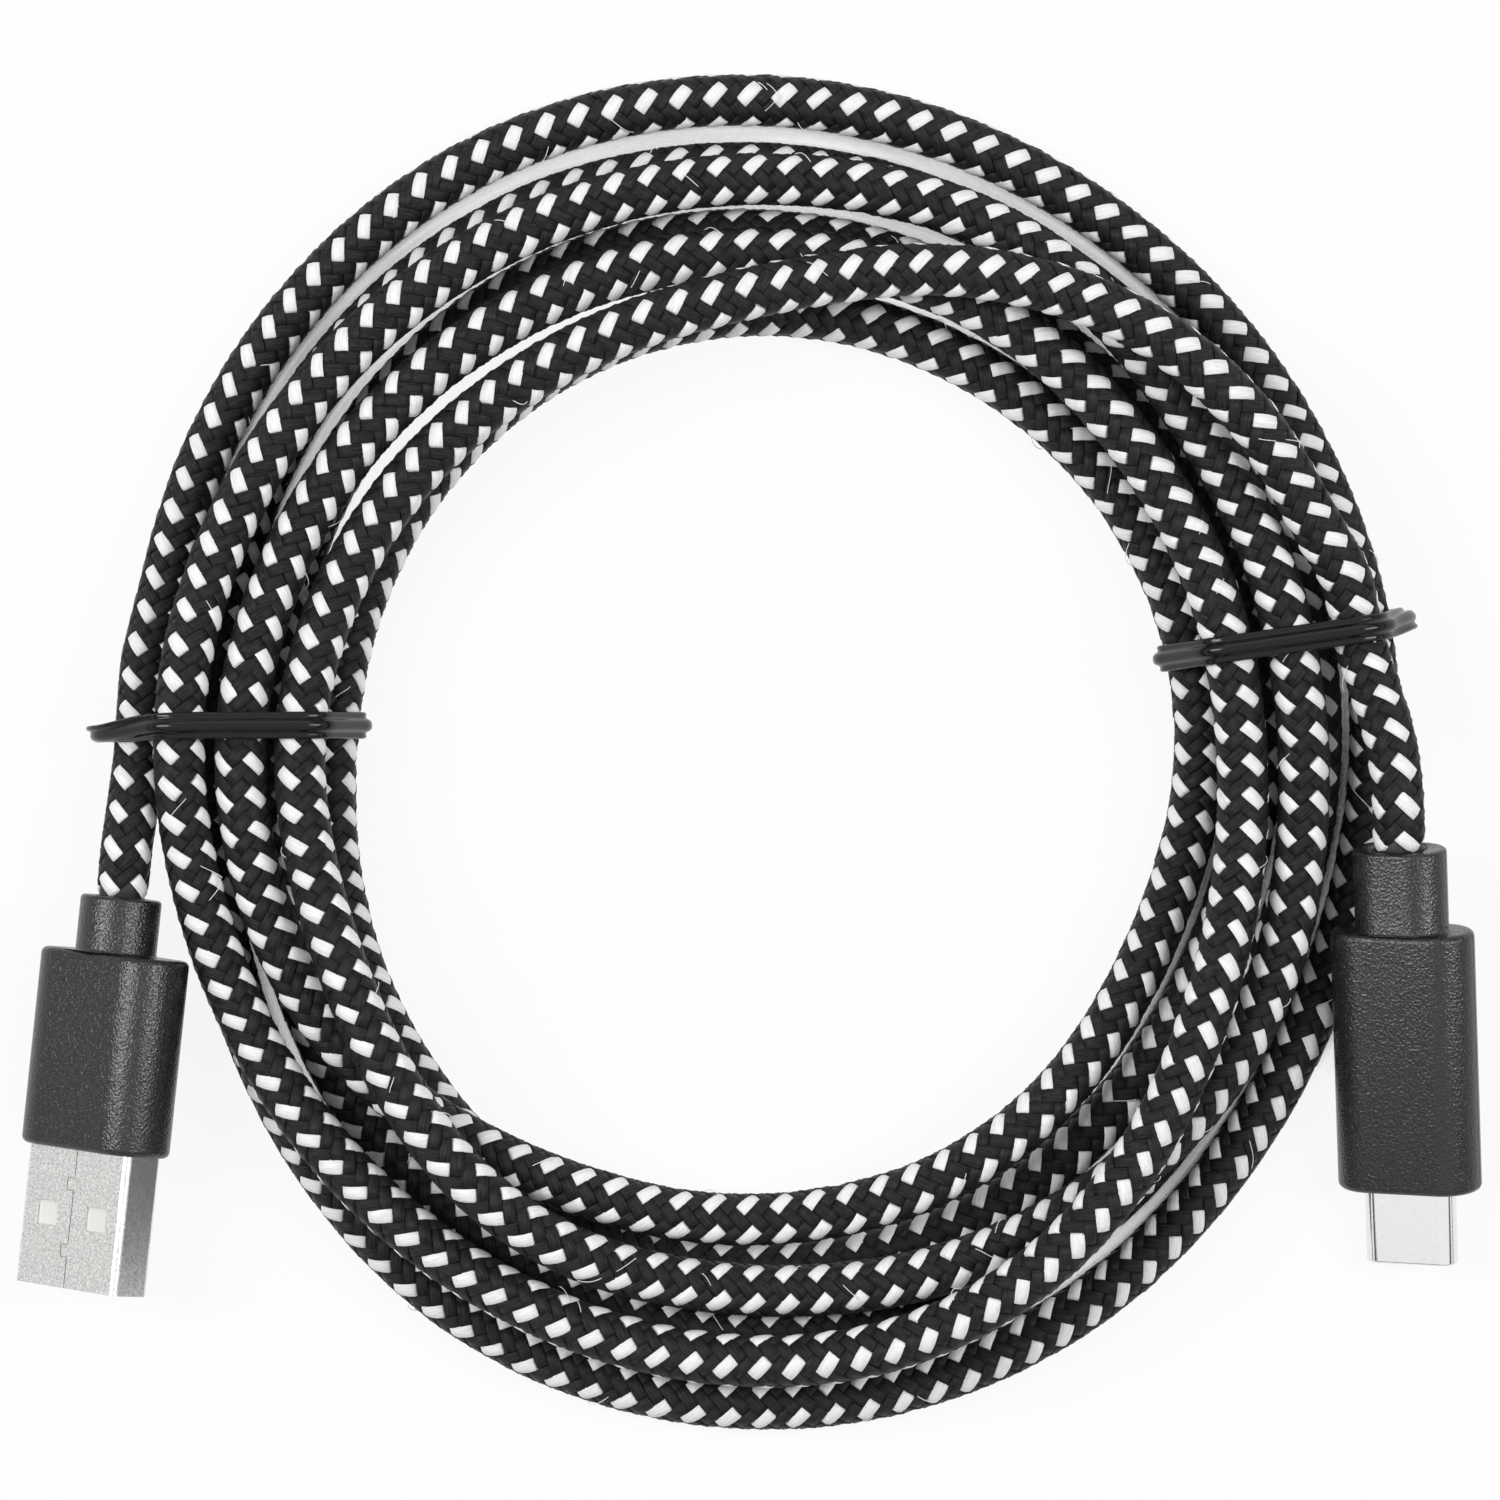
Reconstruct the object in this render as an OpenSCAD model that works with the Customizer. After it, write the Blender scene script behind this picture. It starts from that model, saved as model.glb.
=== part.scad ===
// Braided charging cable with a USB-A plug and a USB-C plug, wound flat and held by two twist ties.
// Millimetres. +X to the right, +Y away, +Z up. The origin is the centre of the bottom face of the
// whole cable's bounding box, on the surface that it lies on.

/* [Cord] */
// Outside diameter of the braided cord
cord_d = 4.7; // [3.6:0.1:5]
// Diameter of the round jacket under the braid
jacket_d = 3.7; // [2.6:0.1:4]
// Outside diameter of one insulated conductor
conductor_d = 0.95; // [0.7:0.05:1]

/* [Coil] */
// Radius of the innermost place of the coil
coil_inner_r = 39.4; // [36:0.1:46]
// Clear gap between turns that lie side by side
turn_gap = 0.52; // [0.5:0.02:0.8]
// Clear gap between turns that lie on each other
layer_gap = 0.52; // [0.44:0.02:0.8]
// How much further apart the turns lie where nothing ties them
loose_spread = 0.7; // [0.3:0.02:1.2]
// Rings of the tube in one turn
rings_per_turn = 24; // [24:24:48]

/* [Twist ties] */
// Width of the flat plastic strip
tie_w = 2.4; // [1.8:0.1:4]
// Thickness of the strip's wings
tie_wing_t = 0.45; // [0.3:0.05:0.6]
// Width of the raised rib over the wire
tie_rib_w = 1; // [0.8:0.1:1.6]
// Thickness of the strip at its rib
tie_rib_t = 0.95; // [0.85:0.05:1.2]
// Side of the square-drawn steel wire
tie_wire_d = 0.5; // [0.3:0.05:0.6]
// Clear gap between the strip and the cord that it holds
tie_clear = 0.15; // [0.15:0.05:0.4]
// Length of the twisted ends, which lie in a groove under the bundle
tie_twist_l = 7; // [4:0.5:7]

/* [USB-A plug] */
// Width of the moulded body
a_body_w = 14.6; // [14:0.1:16]
// Thickness of the moulded body
a_body_h = 7.6; // [7:0.1:9]
// Length of the moulded body
a_body_l = 17.5; // [16:0.5:24]
// Corner radius of the moulded body's section
a_body_r = 3.4; // [1:0.1:3.5]
// Diameter of the neck that grips the cord
a_neck_d = 7.2; // [6.2:0.1:7.4]
// Length of the neck behind the body
a_neck_l = 5; // [3:0.5:10]
// Width of the metal shell
a_shell_w = 12; // [11:0.1:12.4]
// Height of the metal shell
a_shell_h = 4.5; // [4.2:0.1:4.8]
// Sheet thickness of the metal shell
a_shell_t = 0.3; // [0.2:0.05:0.35]
// Length of the shell that shows in front of the body
a_shell_out = 12.3; // [10:0.1:14]
// Length of the shell held inside the body
a_shell_in = 6.4; // [4:0.1:8]
// Width and length of the latch windows
a_window = [2.5, 2.1];
// Distance of a window's centre from the middle line
a_window_x = 2.9; // [2.4:0.1:3.4]
// Distance of the windows' centre behind the front edge
a_window_back = 6.4; // [5:0.1:7.5]
// Thickness of the contact tongue
a_tongue_t = 1.85; // [1.6:0.05:2]

/* [USB-C plug] */
// Width of the moulded body
c_body_w = 13; // [12.4:0.1:15]
// Thickness of the moulded body
c_body_h = 6.5; // [6.5:0.1:8]
// Length of the moulded body
c_body_l = 23.5; // [22:0.5:30]
// Width of the neck that grips the cord
c_neck_w = 8.4; // [7.4:0.1:9.4]
// Thickness of the neck
c_neck_h = 5.9; // [5.6:0.1:6.3]
// Length of the neck behind the body
c_neck_l = 7.3; // [5:0.1:10]
// Width of the drawn metal tip
c_tip_w = 8.3; // [8.2:0.05:8.4]
// Height of the drawn metal tip
c_tip_h = 2.56; // [2.5:0.02:2.62]
// Wall of the drawn metal tip
c_tip_t = 0.26; // [0.2:0.02:0.3]
// Length of the tip that shows in front of the body
c_tip_out = 6.8; // [6.2:0.1:7.2]
// Length of the tip held inside the body
c_tip_in = 6.2; // [5:0.1:7]
// Contacts in one row
c_pins = 12; // [6:1:12]
// Spacing of the contacts
c_pin_pitch = 0.5; // [0.5:0.01:0.52]
// Thickness of the circuit board
c_board_t = 0.8; // [0.6:0.05:0.9]
// Length of the circuit board
c_board_l = 8; // [6.5:0.5:9]

/* [Where the pieces lie] */
// Side to side lean of the USB-A plug on its edge, in degrees
a_roll = 38; // [20:1:45]
// Side to side lean of the USB-C plug on its edge, in degrees
c_roll = 22; // [10:1:30]
// Downward slope of the USB-C plug from the coil to the surface, in degrees
c_slope = 11.5; // [11:0.5:13]

/* [Hidden] */
$fn = 36;

fit = 0.05;          // clearance of a piece that is seated in another
cut = 0.2;           // how far a cutting shape runs past a face
edge = 0.6;          // rounding of the moulded bodies' ends
coil_sides = 6;
lead_sides = 12;
hull_fn = 28;
wire_sides = 8;
no_floor = -100;       // for a tube that the surface does not touch

// ---- The coil -------------------------------------------------------------------------------

// The turns start at the left and run clockwise. A turn count of 0 is at the top of the ring.
coil_start = -0.2;
coil_turns = 6.375;
coil_centre = [2.1, 0];
turn_pitch = cord_d + turn_gap;
layer_pitch = cord_d + layer_gap;
floor_z = cord_d * 0.4;             // a tenth of the diameter is cut flat underneath
tie_lift = tie_rib_t + tie_clear + cord_d / 2 - floor_z;
tie_angles = [176.5, 13];            // left tie, right tie
tie_skews = [-1, -4.8];              // degrees by which a tie lies askew across the turns
lift_width = 14;                    // degrees over which the cord settles beside a tie
spread_turned = 4;                  // degrees by which the widest places are turned
blend = 0.03;                       // turns over which a change of place is smoothed
blend_steps = 3;

// The place that the cord takes in the bundle, as [turns, places inwards from the outside].
place_plan = [
    [-0.25, 0.06], [-0.167, -0.26], [-0.08, -0.36], [0, -0.14], [0.08, 0.1],
    [0.25, 0.26], [0.3, 0.43], [0.35, 0.37], [0.42, 0.02], [0.5, -0.16], [0.58, -0.1],
    [0.67, 0.5], [0.75, 1.08], [0.85, 0.72], [0.92, 0.66], [1, 0.88], [1.08, 1.12],
    [1.25, 1.255], [1.3, 1.41], [1.35, 1.34], [1.42, 1.04], [1.5, 0.9], [1.58, 0.96],
    [1.67, 1.56], [1.75, 2.08], [1.85, 1.75], [1.92, 1.7], [2, 1.88], [2.08, 2.12],
    [2.25, 2.25], [2.3, 2.39], [2.35, 2.32], [2.42, 2.05], [2.5, 1.92], [2.58, 2],
    [2.67, 2.62], [2.75, 3.12], [2.92, 3], [3, 3], [3.08, 3.12],
    [3.25, 3.25], [3.32, 3.38], [3.42, 2.85], [3.5, 2.7], [3.58, 2.5],
    [3.65, 1.82], [3.69, 1.6], [3.75, 1.54], [3.86, 1.9], [3.92, 2.1], [4, 2.2],
    [4.08, 2.3], [4.15, 2.6], [4.25, 2.66], [4.33, 2.2], [4.4, 1.25], [4.45, 0.7],
    [4.5, 0.55], [4.6, 0.6], [4.68, 0.6], [4.72, 0.57], [4.76, 0.5], [4.86, 0.82], [4.92, 0.98],
    [5, 1.12], [5.08, 1.06], [5.13, 1.54], [5.2, 1.6], [5.25, 1.6], [5.33, 1.22],
    [5.4, 1.4], [5.5, 1.65], [5.58, 1.62], [5.65, 2.32], [5.69, 2.6], [5.75, 2.55],
    [5.86, 2.9], [5.92, 3.05], [6, 2.9], [6.08, 1.65], [6.13, 0.92], [6.17, 0.68],
    [6.25, 0.56]];

// The layer that the cord lies in, as [turns, layer]. Layer 2 is where it crosses over others.
layer_plan = [
    [-1, 0], [3.28, 0], [3.42, 1], [4.26, 1], [4.34, 2], [4.43, 2], [4.51, 1],
    [5.52, 1], [5.58, 2], [5.68, 2], [5.74, 1], [5.87, 1], [5.96, 2], [6.16, 2],
    [6.2, 1], [7, 1]];

function unit(v) = v / norm(v);
function sum(list, i = 0) = i < len(list) ? list[i] + sum(list, i + 1) : 0;
function smoothed(plan, turns) =
    sum([for (k = [-blend_steps:blend_steps]) lookup(turns + blend * k / blend_steps, plan)])
    / (2 * blend_steps + 1);
function angle_at(turns) = 90 - 360 * turns;
function turned(angle) = (angle % 360 + 540) % 360 - 180;
function settle(angle, tie) = exp(-pow(turned(angle - tie) / lift_width, 2));
function lift_at(angle) = tie_lift * sum([for (tie = tie_angles) settle(angle, tie)]);
function pitch_at(angle) = turn_pitch + loose_spread * pow(sin(angle - spread_turned), 2);
function radius_at(place, angle) = coil_inner_r + (3 - place) * pitch_at(angle);
function height_at(layer, angle) = floor_z + layer * layer_pitch + lift_at(angle);
function coil_point(turns) =
    let (angle = angle_at(turns), r = radius_at(smoothed(place_plan, turns), angle))
    [coil_centre[0] + r * cos(angle), coil_centre[1] + r * sin(angle),
        height_at(smoothed(layer_plan, turns), angle)];

ring_count = round(coil_turns * rings_per_turn);
coil_rings = [for (i = [0:ring_count]) coil_point(coil_start + i / rings_per_turn)];
// Each end runs straight for one diameter, square to the lead that it meets.
end_step = 0.002;
coil_first = coil_rings[0];
coil_last = coil_rings[ring_count];
first_way = unit(coil_first - coil_point(coil_start + end_step));
last_way = unit(coil_last - coil_point(coil_start + coil_turns - end_step));
coil_first_face = coil_first + first_way * cord_d;
coil_last_face = coil_last + last_way * cord_d;
coil_route = concat([coil_first_face], coil_rings, [coil_last_face]);

// Least gap between the cord and itself, measured on points two to a ring.
gap_points = [for (i = [0:2 * ring_count]) coil_point(coil_start + i / rings_per_turn / 2)];
near_turn = rings_per_turn;
least_gap = min([for (i = [0:len(gap_points) - near_turn - 1])
    min([for (j = [i + near_turn:len(gap_points) - 1]) norm(gap_points[i] - gap_points[j])])])
    - cord_d;
coil_length = sum([for (i = [1:len(coil_route) - 1]) norm(coil_route[i] - coil_route[i - 1])]);
echo(least_gap_of_coil_to_itself = least_gap);
echo(length_of_cord_in_coil = coil_length);

// A tube swept along a route. Its section stands upright, and nothing of it goes below a height.
function way_at(route, i) =
    unit(route[min(i + 1, len(route) - 1)] - route[max(i - 1, 0)]);
function no_lower(p, lowest) = [p[0], p[1], max(p[2], lowest)];
function tube_ring(centre, way, d, sides, lowest) =
    let (side = unit(cross(way, [0, 0, 1])), up = cross(side, way))
    [for (k = [0:sides - 1]) no_lower(
        centre + d / 2 * (cos(360 * k / sides) * side + sin(360 * k / sides) * up), lowest)];

module tube(route, d, sides, lowest = 0) {
    rings = [for (i = [0:len(route) - 1])
        tube_ring(route[i], way_at(route, i), d, sides, lowest)];
    last = (len(route) - 1) * sides;
    polyhedron(
        points = [for (ring = rings) each ring],
        faces = concat(
            [for (i = [0:len(route) - 2], k = [0:sides - 1])
                let (a = i * sides + k, b = i * sides + (k + 1) % sides) [a, b, b + sides]],
            [for (i = [0:len(route) - 2], k = [0:sides - 1])
                let (a = i * sides + k, b = i * sides + (k + 1) % sides) [a, b + sides, a + sides]],
            [for (k = [1:sides - 2]) [0, k + 1, k]],
            [for (k = [1:sides - 2]) [last, last + k, last + k + 1]]));
}

// ---- Where the plugs lie --------------------------------------------------------------------

// Height of a section's centre above its lowest point when the section leans by an angle.
function lean_height(w, h, r, lean) = (w / 2 - r) * sin(lean) + (h / 2 - r) * cos(lean) + r;

a_front = a_neck_l + a_body_l;
c_front = c_neck_l + c_body_l;
a_exit = [-55.4, -12.8, lean_height(a_body_w, a_body_h, a_body_r, a_roll)];
a_turn = 174;
c_lean = lean_height(c_body_w, c_body_h, c_body_h / 2, c_roll);
c_exit = [57.3, -8.4, (c_front - edge) * sin(c_slope) + c_lean * cos(c_slope)];
c_turn = 182.7;
a_way_out = [sin(a_turn), -cos(a_turn), 0];
c_way_out = [sin(c_turn) * cos(c_slope), -cos(c_turn) * cos(c_slope), sin(c_slope)];

// Points of the two free stretches, between a plug's neck and the coil.
a_lead_points = [[-54.3, -3.4, 5.3], [-53.9, 0.6, 4.3], [-53.7, 4.4, 3.6]];
c_lead_points = [[53.7, 10.6, 8.8], [55.2, 5.5, 9.9], [56.5, 0.9, 11.1]];
a_lead_route = concat(
    [a_exit, a_exit + a_way_out * cord_d], a_lead_points,
    [coil_first_face + first_way * cord_d, coil_first_face]);
c_lead_route = concat(
    [coil_last_face, coil_last_face + last_way * cord_d], c_lead_points,
    [c_exit + c_way_out * cord_d, c_exit]);

module in_usb_a()
    translate(a_exit) rotate([0, 0, a_turn]) rotate([0, a_roll, 0]) children();
module in_usb_c()
    translate(c_exit) rotate([0, 0, c_turn]) rotate([-c_slope, 0, 0]) rotate([0, c_roll, 0])
        children();

// ---- Shared shapes. A plug points along +Y, with its width along X ----------------------------

module rounded_section(w, h, r) {
    square([w - 2 * r, h], center = true);
    square([w, h - 2 * r], center = true);
    for (x = [-1, 1], y = [-1, 1])
        translate([x * (w / 2 - r), y * (h / 2 - r)])
            circle(r);
}

module slot_section(w, h) {
    square([w - h, h], center = true);
    for (x = [-1, 1])
        translate([x * (w - h) / 2, 0])
            circle(h / 2);
}

module along(from, to)
    translate([0, from, 0]) rotate([-90, 0, 0]) linear_extrude(to - from) children();
module bar(w, h, r, from, to) along(from, to) rounded_section(w, h, r);
module slot_bar(w, h, from, to) along(from, to) slot_section(w, h);
module round_bar(d, from, to) translate([0, from, 0]) rotate([-90, 0, 0]) cylinder(to - from, d = d);
module block(x_size, z_size, from, to, z = 0)
    translate([-x_size / 2, from, z - z_size / 2]) cube([x_size, to - from, z_size]);

// Ends rounded over by the named edge, as a mould's corners are.
edge_steps = [0, 45, 90];
module soft_bar(w, h, r, from, to)
    hull() for (a = edge_steps) {
        inset = edge * (1 - sin(a));
        run = edge * (1 - cos(a));
        bar(w - 2 * inset, h - 2 * inset, r - inset, from + run, to - run, $fn = hull_fn);
    }
module soft_slot(w, h, from, to)
    hull() for (a = edge_steps) {
        inset = edge * (1 - sin(a));
        run = edge * (1 - cos(a));
        slot_bar(w - 2 * inset, h - 2 * inset, from + run, to - run, $fn = hull_fn);
    }

// A thin insulated wire that bends at each of its points.
module wire(points, d) tube(points, d, wire_sides, no_floor);

// The cord's inside, where a plug takes hold of it.
conductor_count = 4;
conductor_ring = jacket_d / 2 - conductor_d / 2 - 0.2;
function conductor_start(i, y) =
    let (a = 45 + 360 * i / conductor_count) [conductor_ring * cos(a), y, conductor_ring * sin(a)];
// Place in the jacket of the conductor that goes to each terminal, from left to right.
conductor_places = [2, 1, 0, 3];

module cord_end(length) {
    color("#2b2b2d")
        difference() {
            round_bar(cord_d, 0, length);
            round_bar(jacket_d, -cut, length + cut);
        }
}

module cord_jacket(length, socket) {
    color("#1c1c1e")
        difference() {
            round_bar(jacket_d, 0, length);
            for (i = [0:conductor_count - 1])
                translate(conductor_start(i, 0))
                    round_bar(conductor_d + fit, length - socket, length + cut);
        }
}

crimp_t = 0.3;
crimp_slit = 0.5;
module crimp_band(from, to) {
    color("#b9bcc0")
        difference() {
            round_bar(jacket_d + 2 * crimp_t, from, to);
            round_bar(jacket_d, from - cut, to + cut);
            block(crimp_slit, jacket_d, from - cut, to + cut, -jacket_d / 2);
        }
}

// ---- USB-A plug -----------------------------------------------------------------------------

a_cord_in = a_neck_l + 1.4;                    // the braid ends here, inside the neck
a_crimp = [a_neck_l + 2.2, a_neck_l + 4.6];
a_jacket_end = a_neck_l + 5.2;
a_socket = 2;                                   // depth of the conductors' sockets in the jacket
a_mould = [11.4, 5.2, 0.8];                     // width, height and corner of the inner block
a_mould_from = a_neck_l + 1.9;
a_shell_from = a_front - a_shell_in;
a_shell_to = a_front + a_shell_out;
a_shell_r = 0.6;
a_inside = [a_shell_w - 2 * a_shell_t, a_shell_h - 2 * a_shell_t];
a_base_from = a_shell_from + 0.5;
a_base_to = a_front + 0.1;
a_tongue_to = a_shell_to - 0.5;
a_tongue_low = a_inside[1] / 2 - fit - a_tongue_t;
a_contact_x = [-3.5, -1, 1, 3.5];
a_contact_w = 1;
a_contact_t = 0.25;
a_contact_front = [0.5, 1.5, 1.5, 0.5];        // the outer contacts reach further forward
a_tail_from = a_base_from - 1.3;
a_tail_z = a_tongue_low + a_contact_t;
a_mould_room = [8.6, 3.4];
seam_gap = 0.08;
seam_key = [1.6, 1.1];
seam_keys_back = [3.3, 9.2];                    // from the front edge to each interlock

module usb_a_overmould() {
    color("#38383a") in_usb_a()
        difference() {
            union() {
                soft_bar(a_body_w, a_body_h, a_body_r, a_neck_l, a_front);
                translate([0, edge, 0])
                    round_bar(a_neck_d, 0, a_neck_l + edge);
                rotate([-90, 0, 0])
                    cylinder(edge, d1 = a_neck_d - 2 * edge, d2 = a_neck_d);
            }
            round_bar(cord_d + 2 * fit, -cut, a_mould_from + cut);
            bar(a_mould[0] + 2 * fit, a_mould[1] + 2 * fit, a_mould[2], a_mould_from, a_shell_from);
            bar(a_shell_w + 2 * fit, a_shell_h + 2 * fit, a_shell_r + fit,
                a_shell_from - fit, a_front + cut);
        }
}

module usb_a_inner_mould() {
    color("#d9d6cb") in_usb_a()
        difference() {
            bar(a_mould[0], a_mould[1], a_mould[2], a_mould_from + fit, a_shell_from - 2 * fit);
            round_bar(jacket_d + 2 * crimp_t + 2 * fit, a_mould_from, a_jacket_end + fit);
            block(a_mould_room[0], a_mould_room[1], a_jacket_end, a_shell_from + cut);
        }
}

// The strip is bent to a box whose edges meet along the middle of the top in two interlocks.
module seam() {
    z = a_shell_h / 2 - a_shell_t / 2;
    depth = a_shell_t + cut;
    module slit(x_from, x_to, y_from, y_to)
        translate([min(x_from, x_to) - seam_gap / 2, min(y_from, y_to) - seam_gap / 2, z - depth / 2])
            cube([abs(x_to - x_from) + seam_gap, abs(y_to - y_from) + seam_gap, depth]);
    ends = [a_shell_to + cut, for (b = seam_keys_back) each
        [a_shell_to - b + seam_key[1] / 2, a_shell_to - b - seam_key[1] / 2], a_shell_from - cut];
    for (i = [0:2:len(ends) - 1])
        slit(0, 0, ends[i], ends[i + 1]);
    for (b = seam_keys_back) {
        front = a_shell_to - b + seam_key[1] / 2;
        back = front - seam_key[1];
        slit(0, seam_key[0] / 2, front, front);
        slit(seam_key[0] / 2, seam_key[0] / 2, back, front);
        slit(0, seam_key[0] / 2, back, back);
    }
}

module usb_a_shell() {
    color("#c4c6c8") in_usb_a()
        difference() {
            bar(a_shell_w, a_shell_h, a_shell_r, a_shell_from, a_shell_to);
            bar(a_inside[0], a_inside[1], a_shell_r - a_shell_t, a_shell_from - cut, a_shell_to + cut);
            for (x = [-1, 1])
                translate([x * a_window_x, 0, 0])
                    block(a_window[0], a_shell_h + cut, a_shell_to - a_window_back - a_window[1] / 2,
                        a_shell_to - a_window_back + a_window[1] / 2);
            seam();
        }
}

module usb_a_tongue() {
    color("#f2f1ec") in_usb_a()
        difference() {
            union() {
                block(a_inside[0] - 2 * fit, a_inside[1] - 2 * fit, a_base_from, a_base_to);
                block(a_inside[0] - 2 * fit, a_tongue_t, a_base_from, a_tongue_to,
                    a_tongue_low + a_tongue_t / 2);
            }
            for (i = [0:len(a_contact_x) - 1])
                translate([a_contact_x[i], 0, 0])
                    block(a_contact_w + 2 * fit, a_contact_t + fit, a_base_from - cut,
                        a_tongue_to - a_contact_front[i] + fit, a_tongue_low + (a_contact_t + fit) / 2);
            for (x = [-1, 1])
                translate([x * a_inside[0] / 2, a_tongue_to, a_tongue_low + a_tongue_t / 2])
                    rotate([0, 0, 45])
                        cube([0.8, 0.8, a_tongue_t + cut], center = true);
        }
}

module usb_a_contacts() {
    color("#d9b25a") in_usb_a()
        for (i = [0:len(a_contact_x) - 1])
            translate([a_contact_x[i], 0, a_tongue_low + fit / 2])
                linear_extrude(a_contact_t)
                    translate([0, a_tail_from])
                        union() {
                            translate([-a_contact_w / 2, 0])
                                square([a_contact_w, a_tongue_to - a_contact_front[i]
                                    - a_tail_from - a_contact_w / 2]);
                            translate([0, a_tongue_to - a_contact_front[i] - a_tail_from
                                - a_contact_w / 2])
                                circle(a_contact_w / 2);
                        }
}

module usb_a_crimp_band() in_usb_a() crimp_band(a_crimp[0], a_crimp[1]);
module usb_a_cord_end() in_usb_a() cord_end(a_cord_in);
module usb_a_cord_jacket() in_usb_a() cord_jacket(a_jacket_end, a_socket);

module usb_a_conductors() {
    in_usb_a()
        for (i = [0:conductor_count - 1]) {
            start = a_jacket_end - a_socket + fit;
            end = [a_contact_x[i], a_tail_from + 0.3, a_tail_z + fit + conductor_d / 2];
            from = conductor_start(conductor_places[i], start);
            color(["#b3262a", "#e8e6e0", "#2f7d4f", "#1a1a1a"][i])
                wire([from, [from[0], a_jacket_end + 0.6, from[2]], end,
                    [end[0], a_base_from - 0.1, end[2]]], conductor_d);
        }
}

// ---- USB-C plug -----------------------------------------------------------------------------

c_cord_in = c_neck_l + 1.2;                     // the braid ends here, inside the plug
c_mould = [10.2, 4.8, 1];
c_mould_from = c_neck_l + 1.7;
c_mould_to = c_front - 3.8;
c_crimp = [c_neck_l + 2.4, c_neck_l + 4.8];
c_jacket_end = c_neck_l + 5.5;
c_socket = 2;
c_tip_from = c_front - c_tip_in;
c_tip_to = c_front + c_tip_out;
c_inside = [c_tip_w - 2 * c_tip_t, c_tip_h - 2 * c_tip_t];
c_housing_from = c_tip_from + 0.6;
c_housing_to = c_tip_to - 0.6;
c_mouth = [6.7, 0.85];
c_mouth_from = c_housing_from + 4.6;
c_pin_w = 0.25;
c_pin_t = 0.15;
c_pin_to = c_housing_to - 0.5;
c_board_to = c_housing_from - 0.1;
c_board_from = c_board_to - c_board_l;
c_board_w = 8;
c_pin_from = c_board_to - 2;
c_can = [9, 3.6, 0.5, 0.2];                     // width, height, corner and sheet thickness
c_can_from = c_board_from - 0.6;
c_can_to = c_mould_to - 0.6;
c_room = [7, 3];
c_wire_pitch = 1.6;
latch_x = c_mouth[0] / 2 + 0.12;
latch_t = 0.16;
latch_h = 0.5;
latch_hook = 0.45;
spring_t = 0.12;
spring_size = [5.6, 3.2];
resistor = [1, 0.5, 0.35];

module usb_c_overmould() {
    color("#38383a") in_usb_c()
        difference() {
            union() {
                soft_slot(c_body_w, c_body_h, c_neck_l, c_front);
                soft_slot(c_neck_w, c_neck_h, 0, c_neck_l + 2 * edge);
            }
            round_bar(cord_d + 2 * fit, -cut, c_mould_from + cut);
            bar(c_mould[0] + 2 * fit, c_mould[1] + 2 * fit, c_mould[2], c_mould_from, c_mould_to);
            slot_bar(c_tip_w + 2 * fit, c_tip_h + 2 * fit, c_mould_to - fit, c_front + cut);
        }
}

module usb_c_inner_mould() {
    color("#d9d6cb") in_usb_c()
        difference() {
            bar(c_mould[0], c_mould[1], c_mould[2], c_mould_from + fit, c_mould_to - fit);
            round_bar(jacket_d + 2 * crimp_t + 2 * fit, c_mould_from, c_jacket_end + fit);
            block(c_room[0], c_room[1], c_jacket_end, c_can_from);
            bar(c_can[0] + 2 * fit, c_can[1] + 2 * fit, c_can[2], c_can_from - fit, c_can_to + fit);
            slot_bar(c_tip_w + 2 * fit, c_tip_h + 2 * fit, c_can_to, c_mould_to + cut);
        }
}

module usb_c_tip_shell() {
    color("#9fa2a6") in_usb_c()
        difference() {
            slot_bar(c_tip_w, c_tip_h, c_tip_from, c_tip_to);
            slot_bar(c_inside[0], c_inside[1], c_tip_from - cut, c_tip_to + cut);
        }
}

module usb_c_contact_housing() {
    color("#1d1d1f") in_usb_c()
        difference() {
            slot_bar(c_inside[0] - 2 * fit, c_inside[1] - 2 * fit, c_housing_from, c_housing_to);
            block(c_mouth[0], c_mouth[1], c_mouth_from, c_housing_to + cut);
            for (side = [-1, 1], x = pin_places())
                translate([x, 0, side * (c_board_t + c_pin_t) / 2])
                    block(c_pin_w + fit, c_pin_t + fit, c_housing_from - cut, c_pin_to + fit);
            for (x = [-1, 1])
                translate([x * (latch_x + c_inside[0] / 2) / 2, 0, 0])
                    block(c_inside[0] / 2 - latch_x + 2 * fit, latch_h + 2 * fit,
                        c_housing_from - cut, c_housing_to - 0.4);
            for (z = [-1, 1])
                translate([0, 0, z * c_inside[1] / 2])
                    block(spring_size[0] + 2 * fit, 2 * (spring_t + fit),
                        c_mouth_from - fit, c_mouth_from + spring_size[1] + fit);
        }
}

function pin_places() = [for (i = [0:c_pins - 1]) (i - (c_pins - 1) / 2) * c_pin_pitch];

// One row of spring contacts. Each runs from the board to a round nose near the mouth.
module contact_row(side) {
    color("#d9b25a") in_usb_c()
        for (x = pin_places())
            translate([x, 0, side * (c_board_t + c_pin_t) / 2]) {
                block(c_pin_w, c_pin_t, c_pin_from, c_pin_to);
                translate([-c_pin_w / 2, c_pin_to - 0.5, 0])
                    rotate([0, 90, 0])
                        cylinder(c_pin_w, d = 2 * c_pin_t, $fn = 16);
            }
}
module usb_c_contacts_upper() contact_row(1);
module usb_c_contacts_lower() contact_row(-1);

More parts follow.
